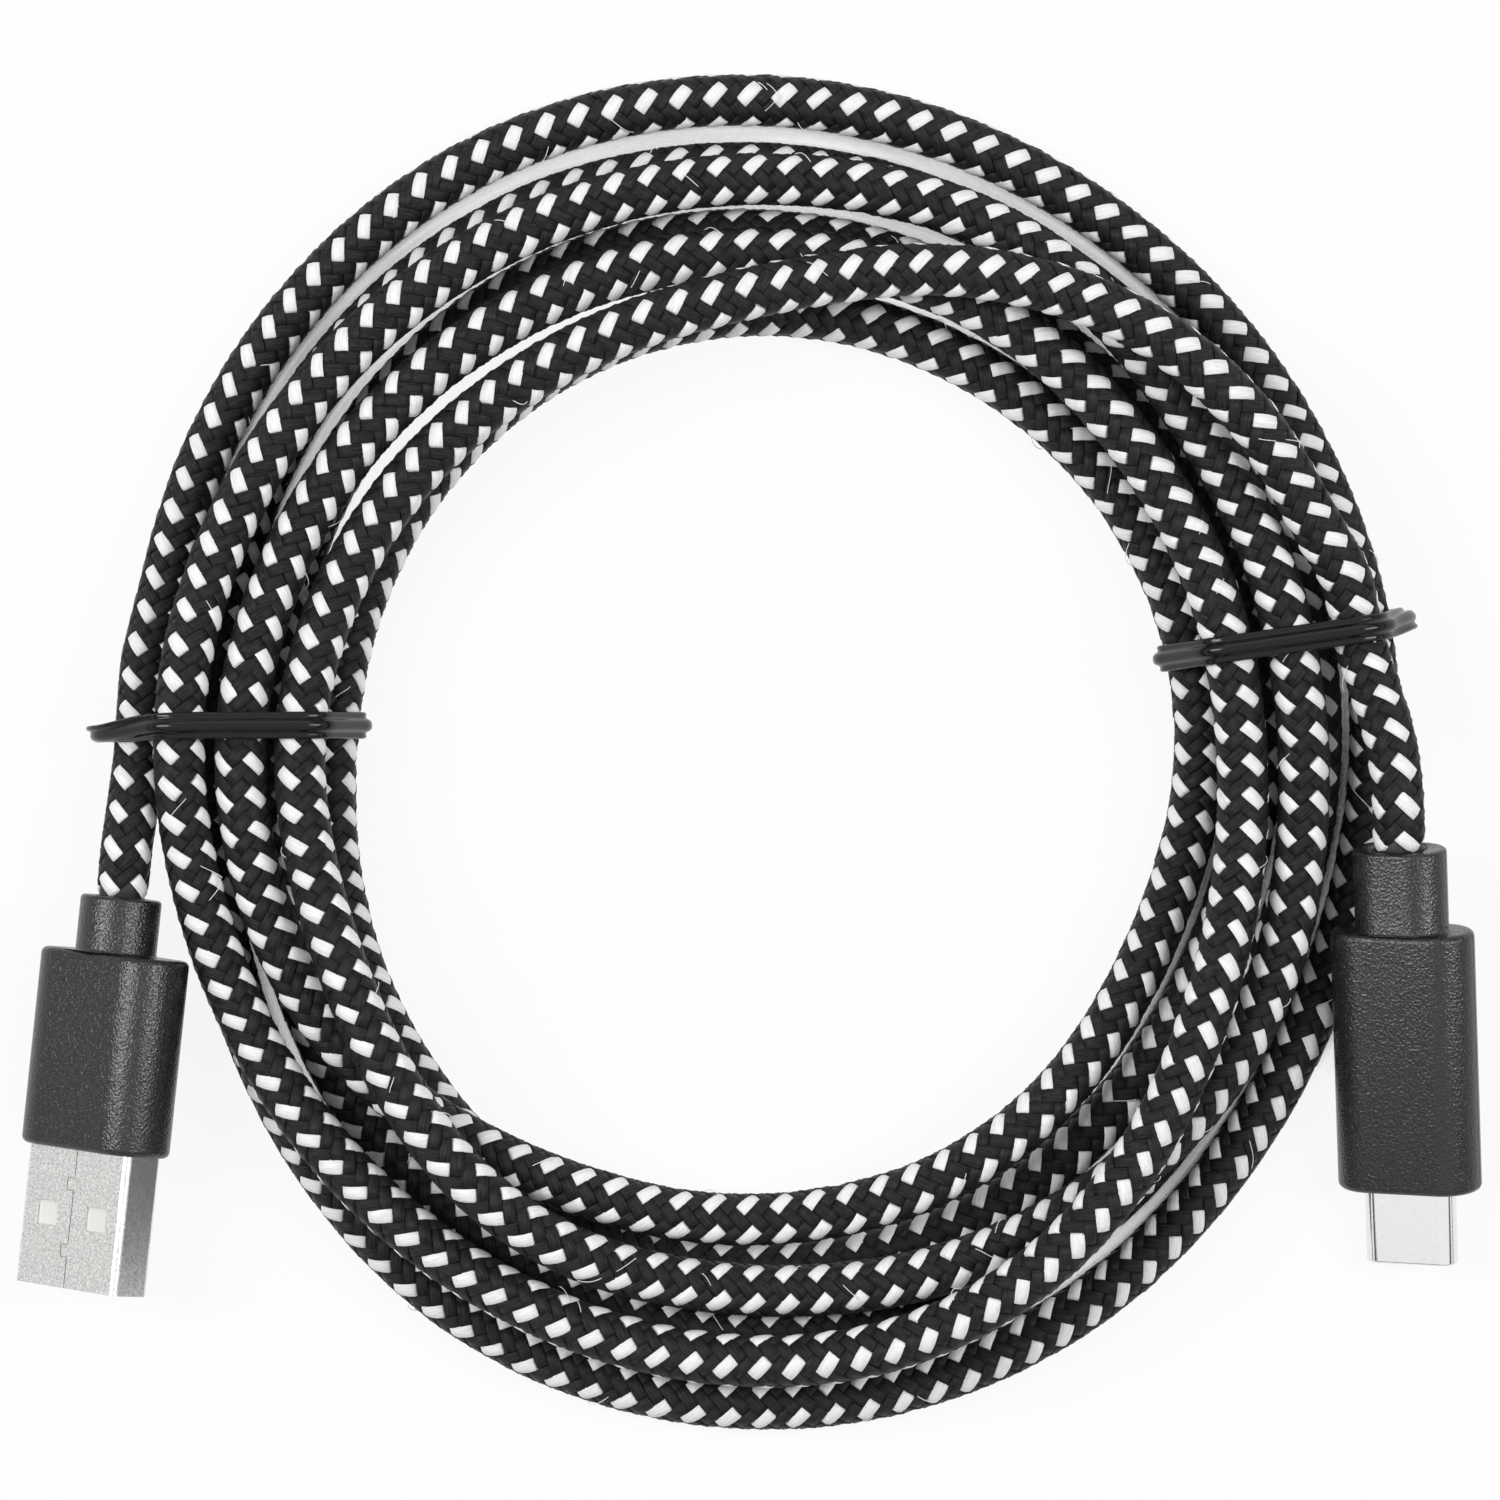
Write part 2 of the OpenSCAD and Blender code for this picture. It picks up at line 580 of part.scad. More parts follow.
// A hooked arm on each side of the mouth, which snaps into the socket's tongue.
module usb_c_latch_springs() {
    front = c_housing_to - 0.6;
    color("#b9bcc0") in_usb_c()
        for (x = [-1, 1])
            translate([0, 0, -latch_h / 2])
                linear_extrude(latch_h)
                    polygon([[x * latch_x, c_housing_from], [x * (latch_x + latch_t), c_housing_from],
                        [x * (latch_x + latch_t), front], [x * latch_x, front],
                        [x * (latch_x - latch_hook), front - 0.35],
                        [x * (latch_x - latch_hook), front - 0.6], [x * latch_x, front - 1]]);
}

module usb_c_ground_springs() {
    color("#b9bcc0") in_usb_c()
        for (z = [-1, 1])
            translate([0, 0, z * (c_inside[1] / 2 - spring_t / 2 - fit / 2)])
                difference() {
                    block(spring_size[0], spring_t, c_mouth_from, c_mouth_from + spring_size[1]);
                    for (x = [-1.5, -0.5, 0.5, 1.5])
                        translate([x * spring_size[0] / 4, 0, 0])
                            block(0.25, spring_t + cut, c_mouth_from + 0.7,
                                c_mouth_from + spring_size[1] - 0.5);
                }
}

module usb_c_circuit_board() {
    color("#1f5a3a") in_usb_c()
        block(c_board_w, c_board_t, c_board_from, c_board_to);
}

module usb_c_board_resistor() {
    color("#26262a") in_usb_c()
        translate([0, 0, c_board_t / 2 + resistor[2] / 2])
            block(resistor[0], resistor[2], c_pin_from - 1.4, c_pin_from - 1.4 + resistor[1]);
}

module usb_c_shield_can() {
    color("#b9bcc0") in_usb_c()
        difference() {
            bar(c_can[0], c_can[1], c_can[2], c_can_from, c_can_to);
            bar(c_can[0] - 2 * c_can[3], c_can[1] - 2 * c_can[3], c_can[2] - c_can[3],
                c_can_from - cut, c_can_to + cut);
        }
}

module usb_c_crimp_band() in_usb_c() crimp_band(c_crimp[0], c_crimp[1]);
module usb_c_cord_end() in_usb_c() cord_end(c_cord_in);
module usb_c_cord_jacket() in_usb_c() cord_jacket(c_jacket_end, c_socket);

module usb_c_conductors() {
    in_usb_c()
        for (i = [0:conductor_count - 1]) {
            start = c_jacket_end - c_socket + fit;
            end = [(i - 1.5) * c_wire_pitch, c_board_from + 0.1,
                c_board_t / 2 + fit + conductor_d / 2];
            from = conductor_start(conductor_places[i], start);
            color(["#b3262a", "#e8e6e0", "#2f7d4f", "#1a1a1a"][i])
                wire([from, [from[0], c_jacket_end + 0.6, from[2]], end,
                    [end[0], c_board_from + 1.7, end[2]]], conductor_d);
        }
}

// ---- Twist ties -----------------------------------------------------------------------------

function tie_turns(tie) = [for (n = [0:coil_turns])
    let (turns = (90 - tie_angles[tie]) / 360 + n)
    if (turns > coil_start && turns < coil_start + coil_turns) turns];
// What a tie goes round, as [distance from the coil's centre, height].
function tie_reach(p, tie) =
    (p[0] - coil_centre[0]) * cos(tie_angles[tie]) + (p[1] - coil_centre[1]) * sin(tie_angles[tie]);
lead_in_tie = [a_lead_points[2], c_lead_points[0]];
function tie_bundle(tie) = concat(
    [for (turns = tie_turns(tie))
        let (p = coil_point(turns)) [tie_reach(p, tie), p[2]]],
    [[tie_reach(lead_in_tie[tie], tie), lead_in_tie[tie][2]]]);

module in_tie(tie)
    translate([coil_centre[0], coil_centre[1], 0])
        rotate([0, 0, tie_angles[tie]])
            translate([coil_inner_r, 0, 0])
                rotate([0, 0, tie_skews[tie]])
                    translate([-coil_inner_r, 0, 0])
                        rotate([90, 0, 0])
                            children();

// The outline of the bundle, kept clear of it by a distance.
module round_bundle(tie, distance)
    hull() for (p = tie_bundle(tie))
        translate(p)
            circle(cord_d / 2 + distance, $fn = hull_fn);

module band(tie, w, from, to)
    linear_extrude(w, center = true)
        difference() {
            round_bundle(tie, tie_clear + to);
            round_bundle(tie, tie_clear + from);
        }

// The strip's two ends, twisted together, lie in the groove between two turns underneath.
twist_r = 0.85;
twist_strand_r = 0.42;
twist_turn = 720;
twist_sides = [1, -1];
module twisted_ends(tie) {
    bundle = tie_bundle(tie);
    side = twist_sides[tie];
    translate([(bundle[1][0] + bundle[2][0]) / 2, twist_r, side > 0 ? tie_w / 2 - edge : -tie_w / 2 + edge])
        mirror([0, 0, side > 0 ? 0 : 1])
            linear_extrude(tie_twist_l + edge, twist = twist_turn, slices = 20)
                union() {
                    for (x = [-1, 1])
                        translate([x * twist_strand_r, 0])
                            circle(twist_strand_r, $fn = 8);
                    square([2 * twist_strand_r, twist_strand_r], center = true);
                }
}

wire_from = (tie_rib_t - tie_wire_d) / 2;
module tie_sleeve(tie) {
    color("#1b1b1c") in_tie(tie)
        difference() {
            union() {
                band(tie, tie_w, 0, tie_wing_t);
                band(tie, tie_rib_w, 0, tie_rib_t);
                twisted_ends(tie);
            }
            band(tie, tie_wire_d, wire_from, wire_from + tie_wire_d);
        }
}
module tie_wire(tie) {
    color("#b9bcc0") in_tie(tie)
        band(tie, tie_wire_d, wire_from, wire_from + tie_wire_d);
}
module left_tie_sleeve() tie_sleeve(0);
module left_tie_wire() tie_wire(0);
module right_tie_sleeve() tie_sleeve(1);
module right_tie_wire() tie_wire(1);

// ---- Cord -----------------------------------------------------------------------------------

module cord_coil() color("#2b2b2d") tube(coil_route, cord_d, coil_sides);
module cord_lead_usb_a() color("#2b2b2d") tube(a_lead_route, cord_d, lead_sides);
module cord_lead_usb_c() color("#2b2b2d") tube(c_lead_route, cord_d, lead_sides);

cord_coil();
cord_lead_usb_a();
cord_lead_usb_c();
left_tie_sleeve();
left_tie_wire();
right_tie_sleeve();
right_tie_wire();
usb_a_overmould();
usb_a_inner_mould();
usb_a_shell();
usb_a_tongue();
usb_a_contacts();
usb_a_crimp_band();
usb_a_conductors();
usb_a_cord_end();
usb_a_cord_jacket();
usb_c_overmould();
usb_c_inner_mould();
usb_c_tip_shell();
usb_c_contact_housing();
usb_c_contacts_upper();
usb_c_contacts_lower();
usb_c_latch_springs();
usb_c_ground_springs();
usb_c_circuit_board();
usb_c_board_resistor();
usb_c_shield_can();
usb_c_crimp_band();
usb_c_conductors();
usb_c_cord_end();
usb_c_cord_jacket();
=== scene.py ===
"""Looks of the braided charging cable: cord, plugs and twist ties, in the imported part's frame."""
import math

import bpy
import numpy as np
from mathutils import Matrix, Vector


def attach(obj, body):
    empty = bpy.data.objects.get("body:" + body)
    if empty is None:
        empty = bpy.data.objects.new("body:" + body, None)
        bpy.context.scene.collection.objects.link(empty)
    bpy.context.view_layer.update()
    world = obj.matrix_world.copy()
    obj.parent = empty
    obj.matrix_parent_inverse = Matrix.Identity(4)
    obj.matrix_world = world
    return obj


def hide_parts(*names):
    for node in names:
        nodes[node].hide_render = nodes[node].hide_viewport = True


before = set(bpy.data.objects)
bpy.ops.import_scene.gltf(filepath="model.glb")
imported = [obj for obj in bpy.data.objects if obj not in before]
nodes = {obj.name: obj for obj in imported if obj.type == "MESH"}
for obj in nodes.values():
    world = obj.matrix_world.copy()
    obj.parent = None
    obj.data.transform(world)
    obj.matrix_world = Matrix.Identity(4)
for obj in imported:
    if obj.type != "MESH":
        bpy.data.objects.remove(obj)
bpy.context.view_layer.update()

MM = 0.001
DRAWS = np.random.default_rng(11)   # the braid's small unevenness, the same on each run

# ---- Camera: straight down, the object filling the frame ----------------------------------------

FRAME_MM = 132.7            # width of the frame at the height of the plugs
FRAME_CENTRE = (0.18, 0.22)
PLUG_HEIGHT = 6.0
LENS = 200.0
SENSOR = 36.0
CLIP = (0.01, 20.0)         # metres


def camera():
    """Looks straight down, with the frame's width measured at the height of the plugs."""
    data = bpy.data.cameras.new("camera")
    data.lens = LENS
    data.sensor_width = SENSOR
    data.clip_start, data.clip_end = CLIP
    cam = bpy.data.objects.new("camera", data)
    distance = FRAME_MM * LENS / SENSOR + PLUG_HEIGHT
    cam.location = (FRAME_CENTRE[0] * MM, FRAME_CENTRE[1] * MM, distance * MM)
    bpy.context.scene.collection.objects.link(cam)
    bpy.context.scene.camera = cam


camera()

# ---- The cord's route, as part.scad gives it ----------------------------------------------------

CORD_D = 4.7
COIL_INNER_R = 39.4         # radius of the innermost whole turn
INNER_PLACE = 3             # its place, counted inwards from the outside
TURN_PITCH = CORD_D + 0.52
LOOSE_SPREAD = 0.7          # more pitch than that, away from the ties
SPREAD_TURNED = 4           # degrees by which the widest places are turned
LAYER_PITCH = CORD_D + 0.52
FLOOR_Z = CORD_D * 0.4      # middle of the lowest turns, which are pressed flat underneath
TIE_RIB_T = 0.95
TIE_CLEAR = 0.15
TIE_LIFT = TIE_RIB_T + TIE_CLEAR + CORD_D / 2 - FLOOR_Z
TIE_ANGLES = (176.5, 13)    # where the two ties are, in degrees round the coil
TIE_SKEWS = (-1, -4.8)      # degrees by which they are askew
LIFT_WIDTH = 14             # degrees over which the cord settles beside a tie
BLEND = 0.03                # turns over which a change of place is smoothed
BLEND_STEPS = 3
COIL_START = -0.2
COIL_TURNS = 6.375
COIL_CENTRE = (2.1, 0)

# The place that the cord takes in the bundle, then its layer, each as (turns, value).
PLACE_PLAN = [
    [-0.25, 0.06], [-0.167, -0.26], [-0.08, -0.36], [0, -0.14], [0.08, 0.1],
    [0.25, 0.26], [0.3, 0.43], [0.35, 0.37], [0.42, 0.02], [0.5, -0.16], [0.58, -0.1],
    [0.67, 0.5], [0.75, 1.08], [0.85, 0.72], [0.92, 0.66], [1, 0.88], [1.08, 1.12],
    [1.25, 1.255], [1.3, 1.41], [1.35, 1.34], [1.42, 1.04], [1.5, 0.9], [1.58, 0.96],
    [1.67, 1.56], [1.75, 2.08], [1.85, 1.75], [1.92, 1.7], [2, 1.88], [2.08, 2.12],
    [2.25, 2.25], [2.3, 2.39], [2.35, 2.32], [2.42, 2.05], [2.5, 1.92], [2.58, 2],
    [2.67, 2.62], [2.75, 3.12], [2.92, 3], [3, 3], [3.08, 3.12],
    [3.25, 3.25], [3.32, 3.38], [3.42, 2.85], [3.5, 2.7], [3.58, 2.5],
    [3.65, 1.82], [3.69, 1.6], [3.75, 1.54], [3.86, 1.9], [3.92, 2.1], [4, 2.2],
    [4.08, 2.3], [4.15, 2.6], [4.25, 2.66], [4.33, 2.2], [4.4, 1.25], [4.45, 0.7],
    [4.5, 0.55], [4.6, 0.6], [4.68, 0.6], [4.72, 0.57], [4.76, 0.5], [4.86, 0.82], [4.92, 0.98],
    [5, 1.12], [5.08, 1.06], [5.13, 1.54], [5.2, 1.6], [5.25, 1.6], [5.33, 1.22],
    [5.4, 1.4], [5.5, 1.65], [5.58, 1.62], [5.65, 2.32], [5.69, 2.6], [5.75, 2.55],
    [5.86, 2.9], [5.92, 3.05], [6, 2.9], [6.08, 1.65], [6.13, 0.92], [6.17, 0.68],
    [6.25, 0.56]]
LAYER_PLAN = [
    [-1, 0], [3.28, 0], [3.42, 1], [4.26, 1], [4.34, 2], [4.43, 2], [4.51, 1],
    [5.52, 1], [5.58, 2], [5.68, 2], [5.74, 1], [5.87, 1], [5.96, 2], [6.16, 2],
    [6.2, 1], [7, 1]]

# Where the plugs lie, as part.scad gives it.
A_BODY = (14.6, 7.6, 17.5, 3.4)         # width, thickness, length, corner radius
A_NECK = (7.2, 5.0)                     # diameter, length
A_SHELL = (12.0, 4.5, 12.3, 0.3, 0.6)   # width, height, length out, sheet, corner radius
A_EXIT = (-55.4, -12.8)
A_TURN, A_ROLL = 174, 38                # degrees
C_BODY = (13.0, 6.5, 23.5)              # width, thickness, length
C_NECK = (8.4, 5.9, 7.3)                # width, thickness, length
C_TIP = (8.3, 2.56, 6.8, 0.26)          # width, height, length out, sheet
C_EXIT = (57.3, -8.4)
C_TURN, C_ROLL, C_SLOPE = 182.7, 22, 11.5
EDGE = 0.6                              # rounding of the grips' edges
A_FRONT = A_NECK[1] + A_BODY[2]
C_FRONT = C_NECK[2] + C_BODY[2]

A_LEAD_POINTS = [[-54.3, -3.4, 5.3], [-53.9, 0.6, 4.3], [-53.7, 4.4, 3.6]]
C_LEAD_POINTS = [[53.7, 10.6, 8.8], [55.2, 5.5, 9.9], [56.5, 0.9, 11.1]]


def lean_height(w, h, r, lean):
    """Height of the middle of a rounded bar that leans over on the floor."""
    return (w / 2 - r) * sind(lean) + (h / 2 - r) * cosd(lean) + r


def sind(a):
    return np.sin(np.radians(a))


def cosd(a):
    return np.cos(np.radians(a))


def unit(v):
    return v / np.linalg.norm(v, axis=-1, keepdims=True)


def smoothed(plan, turns):
    """A plan's value at these turns, averaged over a short stretch so that it has no corners."""
    plan = np.array(plan)
    shifts = BLEND * np.arange(-BLEND_STEPS, BLEND_STEPS + 1) / BLEND_STEPS
    return np.mean([np.interp(turns + s, plan[:, 0], plan[:, 1]) for s in shifts], axis=0)


def settle(angle, tie):
    """1 where a tie is, falling to 0 away from it."""
    turned = (angle - tie + 540) % 360 - 180
    return np.exp(-(turned / LIFT_WIDTH) ** 2)


def coil_point(turns):
    """The cord's middle at these turns, counted with the clock from +Y."""
    turns = np.asarray(turns, float)
    angle = 90 - 360 * turns
    pitch = TURN_PITCH + LOOSE_SPREAD * sind(angle - SPREAD_TURNED) ** 2
    r = COIL_INNER_R + (INNER_PLACE - smoothed(PLACE_PLAN, turns)) * pitch
    z = FLOOR_Z + smoothed(LAYER_PLAN, turns) * LAYER_PITCH
    z = z + TIE_LIFT * sum(settle(angle, tie) for tie in TIE_ANGLES)
    return np.stack([COIL_CENTRE[0] + r * cosd(angle), COIL_CENTRE[1] + r * sind(angle), z], -1)


def turned_about(axis, degrees):
    return np.array(Matrix.Rotation(math.radians(degrees), 3, axis))


class Place:
    """Where a plug lies: its own +Y runs from the cord to the tip, +X across and +Z through it."""

    def __init__(self, exit_point, turn):
        self.exit = np.array(exit_point)
        self.turn = turn

    def __call__(self, points):
        return np.asarray(points, float) @ self.turn.T + self.exit


usb_a = Place((*A_EXIT, lean_height(A_BODY[0], A_BODY[1], A_BODY[3], A_ROLL)),
              turned_about("Z", A_TURN) @ turned_about("Y", A_ROLL))
usb_c = Place((*C_EXIT, (C_FRONT - EDGE) * sind(C_SLOPE)
               + lean_height(C_BODY[0], C_BODY[1], C_BODY[1] / 2, C_ROLL) * cosd(C_SLOPE)),
              turned_about("Z", C_TURN) @ turned_about("X", -C_SLOPE) @ turned_about("Y", C_ROLL))


END_STEP = 0.002            # part of a turn over which the coil's ends take their direction
POINTS_PER_TURN = 96
POINTS_PER_SPAN = 24
LINE_SPACING = 0.25
PATH_SPACING = 2.0


def cord_controls():
    """Points that the cord's middle line goes through, from the USB-A plug to the USB-C plug."""
    end = COIL_START + COIL_TURNS
    first, last = coil_point(COIL_START), coil_point(end)
    first_way = unit(first - coil_point(COIL_START + END_STEP))
    last_way = unit(last - coil_point(end - END_STEP))
    first_face, last_face = first + first_way * CORD_D, last + last_way * CORD_D
    coil = coil_point(np.linspace(COIL_START, end, int(POINTS_PER_TURN * COIL_TURNS)))
    way_a, way_c = usb_a.turn @ (0, -1, 0), usb_c.turn @ (0, -1, 0)
    return np.vstack([
        usb_a.exit, usb_a.exit + way_a * CORD_D, *A_LEAD_POINTS,
        first_face + first_way * CORD_D, first_face, coil,
        last_face, last_face + last_way * CORD_D, *C_LEAD_POINTS,
        usb_c.exit + way_c * CORD_D, usb_c.exit])


def through(points, spacing):
    """A smooth line through points (a centripetal spline), as even points a given spacing apart."""
    p = np.vstack([2 * points[0] - points[1], points, 2 * points[-1] - points[-2]])
    t = np.concatenate([[0], np.cumsum(np.linalg.norm(np.diff(p, axis=0), axis=1) ** 0.5)])
    out = []
    for i in range(1, len(p) - 2):
        u = np.linspace(t[i], t[i + 1], POINTS_PER_SPAN, endpoint=False)[:, None]
        a1 = ((t[i] - u) * p[i - 1] + (u - t[i - 1]) * p[i]) / (t[i] - t[i - 1])
        a2 = ((t[i + 1] - u) * p[i] + (u - t[i]) * p[i + 1]) / (t[i + 1] - t[i])
        a3 = ((t[i + 2] - u) * p[i + 1] + (u - t[i + 1]) * p[i + 2]) / (t[i + 2] - t[i + 1])
        b1 = ((t[i + 1] - u) * a1 + (u - t[i - 1]) * a2) / (t[i + 1] - t[i - 1])
        b2 = ((t[i + 2] - u) * a2 + (u - t[i]) * a3) / (t[i + 2] - t[i])
        out.append(((t[i + 1] - u) * b1 + (u - t[i]) * b2) / (t[i + 1] - t[i]))
    line = np.vstack([*out, points[-1:]])
    run = np.concatenate([[0], np.cumsum(np.linalg.norm(np.diff(line, axis=0), axis=1))])
    even = np.linspace(0, run[-1], int(run[-1] / spacing) + 1)
    return even, np.stack([np.interp(even, run, line[:, k]) for k in range(3)], -1)


class Line:
    """The cord's middle line, with its direction, side and top at any distance along it."""

    def __init__(self, controls):
        self.run, self.points = through(controls, LINE_SPACING)
        self.way = unit(np.gradient(self.points, axis=0))
        self.side = unit(np.cross(self.way, (0, 0, 1)))
        self.top = np.cross(self.side, self.way)
        self.length = self.run[-1]

    def at(self, values, s):
        return np.stack([np.interp(s, self.run, values[:, k]) for k in range(3)], -1)

    def surface(self, s, angle, r):
        """Points at a distance along, at an angle from the top towards the side, at a radius."""
        across, up = self.at(self.side, s), self.at(self.top, s)
        out = across * np.sin(angle)[..., None] + up * np.cos(angle)[..., None]
        p = self.at(self.points, s) + out * r[..., None]
        p[..., 2] = np.maximum(p[..., 2], 0)
        return p


line = Line(cord_controls())

# ---- Meshes -------------------------------------------------------------------------------------

def mesh_object(name, points_mm, faces, uv=None):
    """An object from points in millimetres, in the part's frame, with uv given for each point."""
    mesh = bpy.data.meshes.new(name)
    mesh.from_pydata((np.asarray(points_mm) * MM).tolist(), [], faces)
    if uv is not None:
        layer = mesh.uv_layers.new(name="surface")
        index = np.zeros(len(mesh.loops), np.int32)
        mesh.loops.foreach_get("vertex_index", index)
        layer.data.foreach_set("uv", np.asarray(uv, np.float32)[index].ravel())
    mesh.polygons.foreach_set("use_smooth", [True] * len(mesh.polygons))
    mesh.validate()
    mesh.update()
    obj = bpy.data.objects.new(name, mesh)
    bpy.context.scene.collection.objects.link(obj)
    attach(obj, "root")
    return obj


def grid_faces(rows, columns, starts, closed=False):
    """Quads of many grids of rows by columns points, each from its own first point."""
    r = np.arange(rows - 1)[:, None]
    c = np.arange(columns if closed else columns - 1)[None, :]
    c2 = (c + 1) % columns
    here, above = r * columns, (r + 1) * columns
    quad = np.stack([here + c, here + c2, above + c2, above + c], -1)
    return (quad.reshape(1, -1, 4) + np.asarray(starts).reshape(-1, 1, 1)).reshape(-1, 4)


# ---- The braid ----------------------------------------------------------------------------------

CARRIERS = 8                # yarns that wind each way
LAY = 12.2                  # length of cord in which a yarn goes once round
BRAID_R = 2.16              # radius at which the yarns cross
CROSS_TURN = math.pi / CARRIERS
CROSS_RUN = LAY / CARRIERS / 2
TOP_R = 2.39                # radius of the crown of a yarn
CORE_R = 2.02
CORE_RING = 1.2             # from ring to ring of the core
CORE_SIDES = 12
WHITE_FILL = 1.08           # width of a white yarn in its place, where 1 fills it
END_CLEAR = 0.02
LOW_R = 1.95                # no yarn goes deeper
DIVE_FROM, DIVE_SLOPE = 0.9, 2.0        # how its ends go under the yarns that cross it
SAG_ALONG, SAG_ACROSS, SAG_EDGE = 0.05, 0.05, 0.16      # how it falls away from its crown
UNEVEN_WIDTH, UNEVEN_PLACE, UNEVEN_LENGTH, UNEVEN_HEIGHT = 0.05, 0.03, 0.03, 0.02
FIBRE_REPEAT = 40           # distance over which yarns start in the fibres' pattern
# How the braid turns along the cord: distance in mm, turn in degrees.
TWIST_PLAN = np.array([
    [0, -2], [95, 22], [330, -14], [520, 8], [760, -30], [980, 12], [1200, -18], [1420, 20],
    [1640, -12], [1900, 14]])


def floats_of(lean):
    """Where yarns that wind one way pass over two others, as rows of yarn, distance and angle."""
    last = int(line.length / CROSS_RUN) + 2
    found = []
    for yarn in range(CARRIERS):
        other = np.arange(-yarn - last, last + 2 * CARRIERS)
        other = other[(yarn + other) % 4 == (0 if lean > 0 else 2)]
        s = lean * CROSS_RUN * (other + 0.5 - yarn)
        angle = CROSS_TURN * (yarn + other + 0.5)
        keep = (s > CROSS_RUN) & (s < line.length - CROSS_RUN)
        found += [(yarn, a, b) for a, b in zip(s[keep], angle[keep])]
    return np.array(found)


def braid_piece(name, places, lean, along, across, fill=1.0):
    """Yarns where they show. Each is a skewed pad whose ends dive under the yarns that cross it."""
    a = np.asarray(along)[None, :, None]
    b = np.asarray(across)[None, None, :]
    count, n_a, n_b = len(places), len(along), len(across)
    shape = (count, n_a, n_b)

    def uneven(spread):
        return spread * DRAWS.standard_normal(count)[:, None, None]

    side = b * (fill + uneven(UNEVEN_WIDTH)) + uneven(UNEVEN_PLACE)
    a_end = a * (1 + uneven(UNEVEN_LENGTH))
    s = places[:, 1][:, None, None] + CROSS_RUN * (a_end - lean * side)
    angle = places[:, 2][:, None, None] + CROSS_TURN * (lean * a_end + side)
    angle = angle + np.radians(np.interp(s, TWIST_PLAN[:, 0], TWIST_PLAN[:, 1]))
    r = TOP_R + uneven(UNEVEN_HEIGHT) - SAG_ALONG * a ** 2
    r = r - DIVE_SLOPE * np.maximum(np.abs(a) - DIVE_FROM, 0)
    r = r - SAG_ACROSS * (2 * b) ** 2 - SAG_EDGE * (2 * b) ** 8
    s = np.clip(s, END_CLEAR, line.length - END_CLEAR)
    s, angle, r = (np.broadcast_to(v, shape) for v in (s, angle, r))
    points = line.surface(s, angle, np.maximum(r, LOW_R))
    run_x = BRAID_R * CROSS_TURN
    step = math.hypot(run_x, CROSS_RUN)
    start = DRAWS.random(count)[:, None, None] * FIBRE_REPEAT
    u = (a * step ** 2 + lean * b * (run_x ** 2 - CROSS_RUN ** 2)) / step + start
    v = 2 * b * run_x * CROSS_RUN / step + start * 3
    uv = np.stack(np.broadcast_arrays(u, v), -1).reshape(-1, 2)
    faces = grid_faces(n_a, n_b, np.arange(count) * n_a * n_b)
    return mesh_object(name, points.reshape(-1, 3), faces.tolist(), uv)


def core_piece():
    """The plain round cord under the braid."""
    rings, sides = int(line.length / CORE_RING), CORE_SIDES
    s = np.repeat(np.linspace(0, line.length, rings)[:, None], sides, axis=1)
    angle = np.repeat(np.linspace(0, 2 * np.pi, sides, endpoint=False)[None], rings, axis=0)
    points = line.surface(s, angle, np.full_like(s, CORE_R))
    faces = grid_faces(rings, sides, [0], closed=True).tolist()
    faces += [list(range(sides)), [(rings - 1) * sides + k for k in reversed(range(sides))]]
    uv = np.stack([s, angle * 2], -1).reshape(-1, 2)
    return mesh_object("cord_core", points.reshape(-1, 3), faces, uv)


# Where each pad has its points: along the yarn from crossing to crossing, and across it.
FINE_ALONG = (-1.09, -0.98, -0.88, -0.3, 0.3, 0.88, 0.98, 1.09)
FINE_ACROSS = (-0.5, -0.43, 0, 0.43, 0.5)
COARSE_ALONG = (-1.08, -0.92, -0.35, 0.35, 0.92, 1.08)
COARSE_ACROSS = (-0.5, -0.4, 0.4, 0.5)


def make_cord():
    """The white yarns wind with the black ones beside them, and the rest are black too."""
    with_white, crossing = floats_of(-1), floats_of(1)
    white = with_white[with_white[:, 0] % 2 == 0]
    black = with_white[with_white[:, 0] % 2 == 1]
    yarns = [braid_piece("white_yarn", white, -1, FINE_ALONG, FINE_ACROSS, WHITE_FILL),
             braid_piece("black_yarn", black, -1, COARSE_ALONG, COARSE_ACROSS),
             braid_piece("crossing_yarn", crossing, 1, COARSE_ALONG, COARSE_ACROSS)]
    core = core_piece()
    step = int(PATH_SPACING / LINE_SPACING)
    path = np.vstack([line.points[:-1:step], line.points[-1:]]) * MM
    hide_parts("cord_coil", "cord_lead_usb_a", "cord_lead_usb_c")
    return core, yarns, path.tolist()


core, yarns, cord_path = make_cord()

# ---- Materials ----------------------------------------------------------------------------------

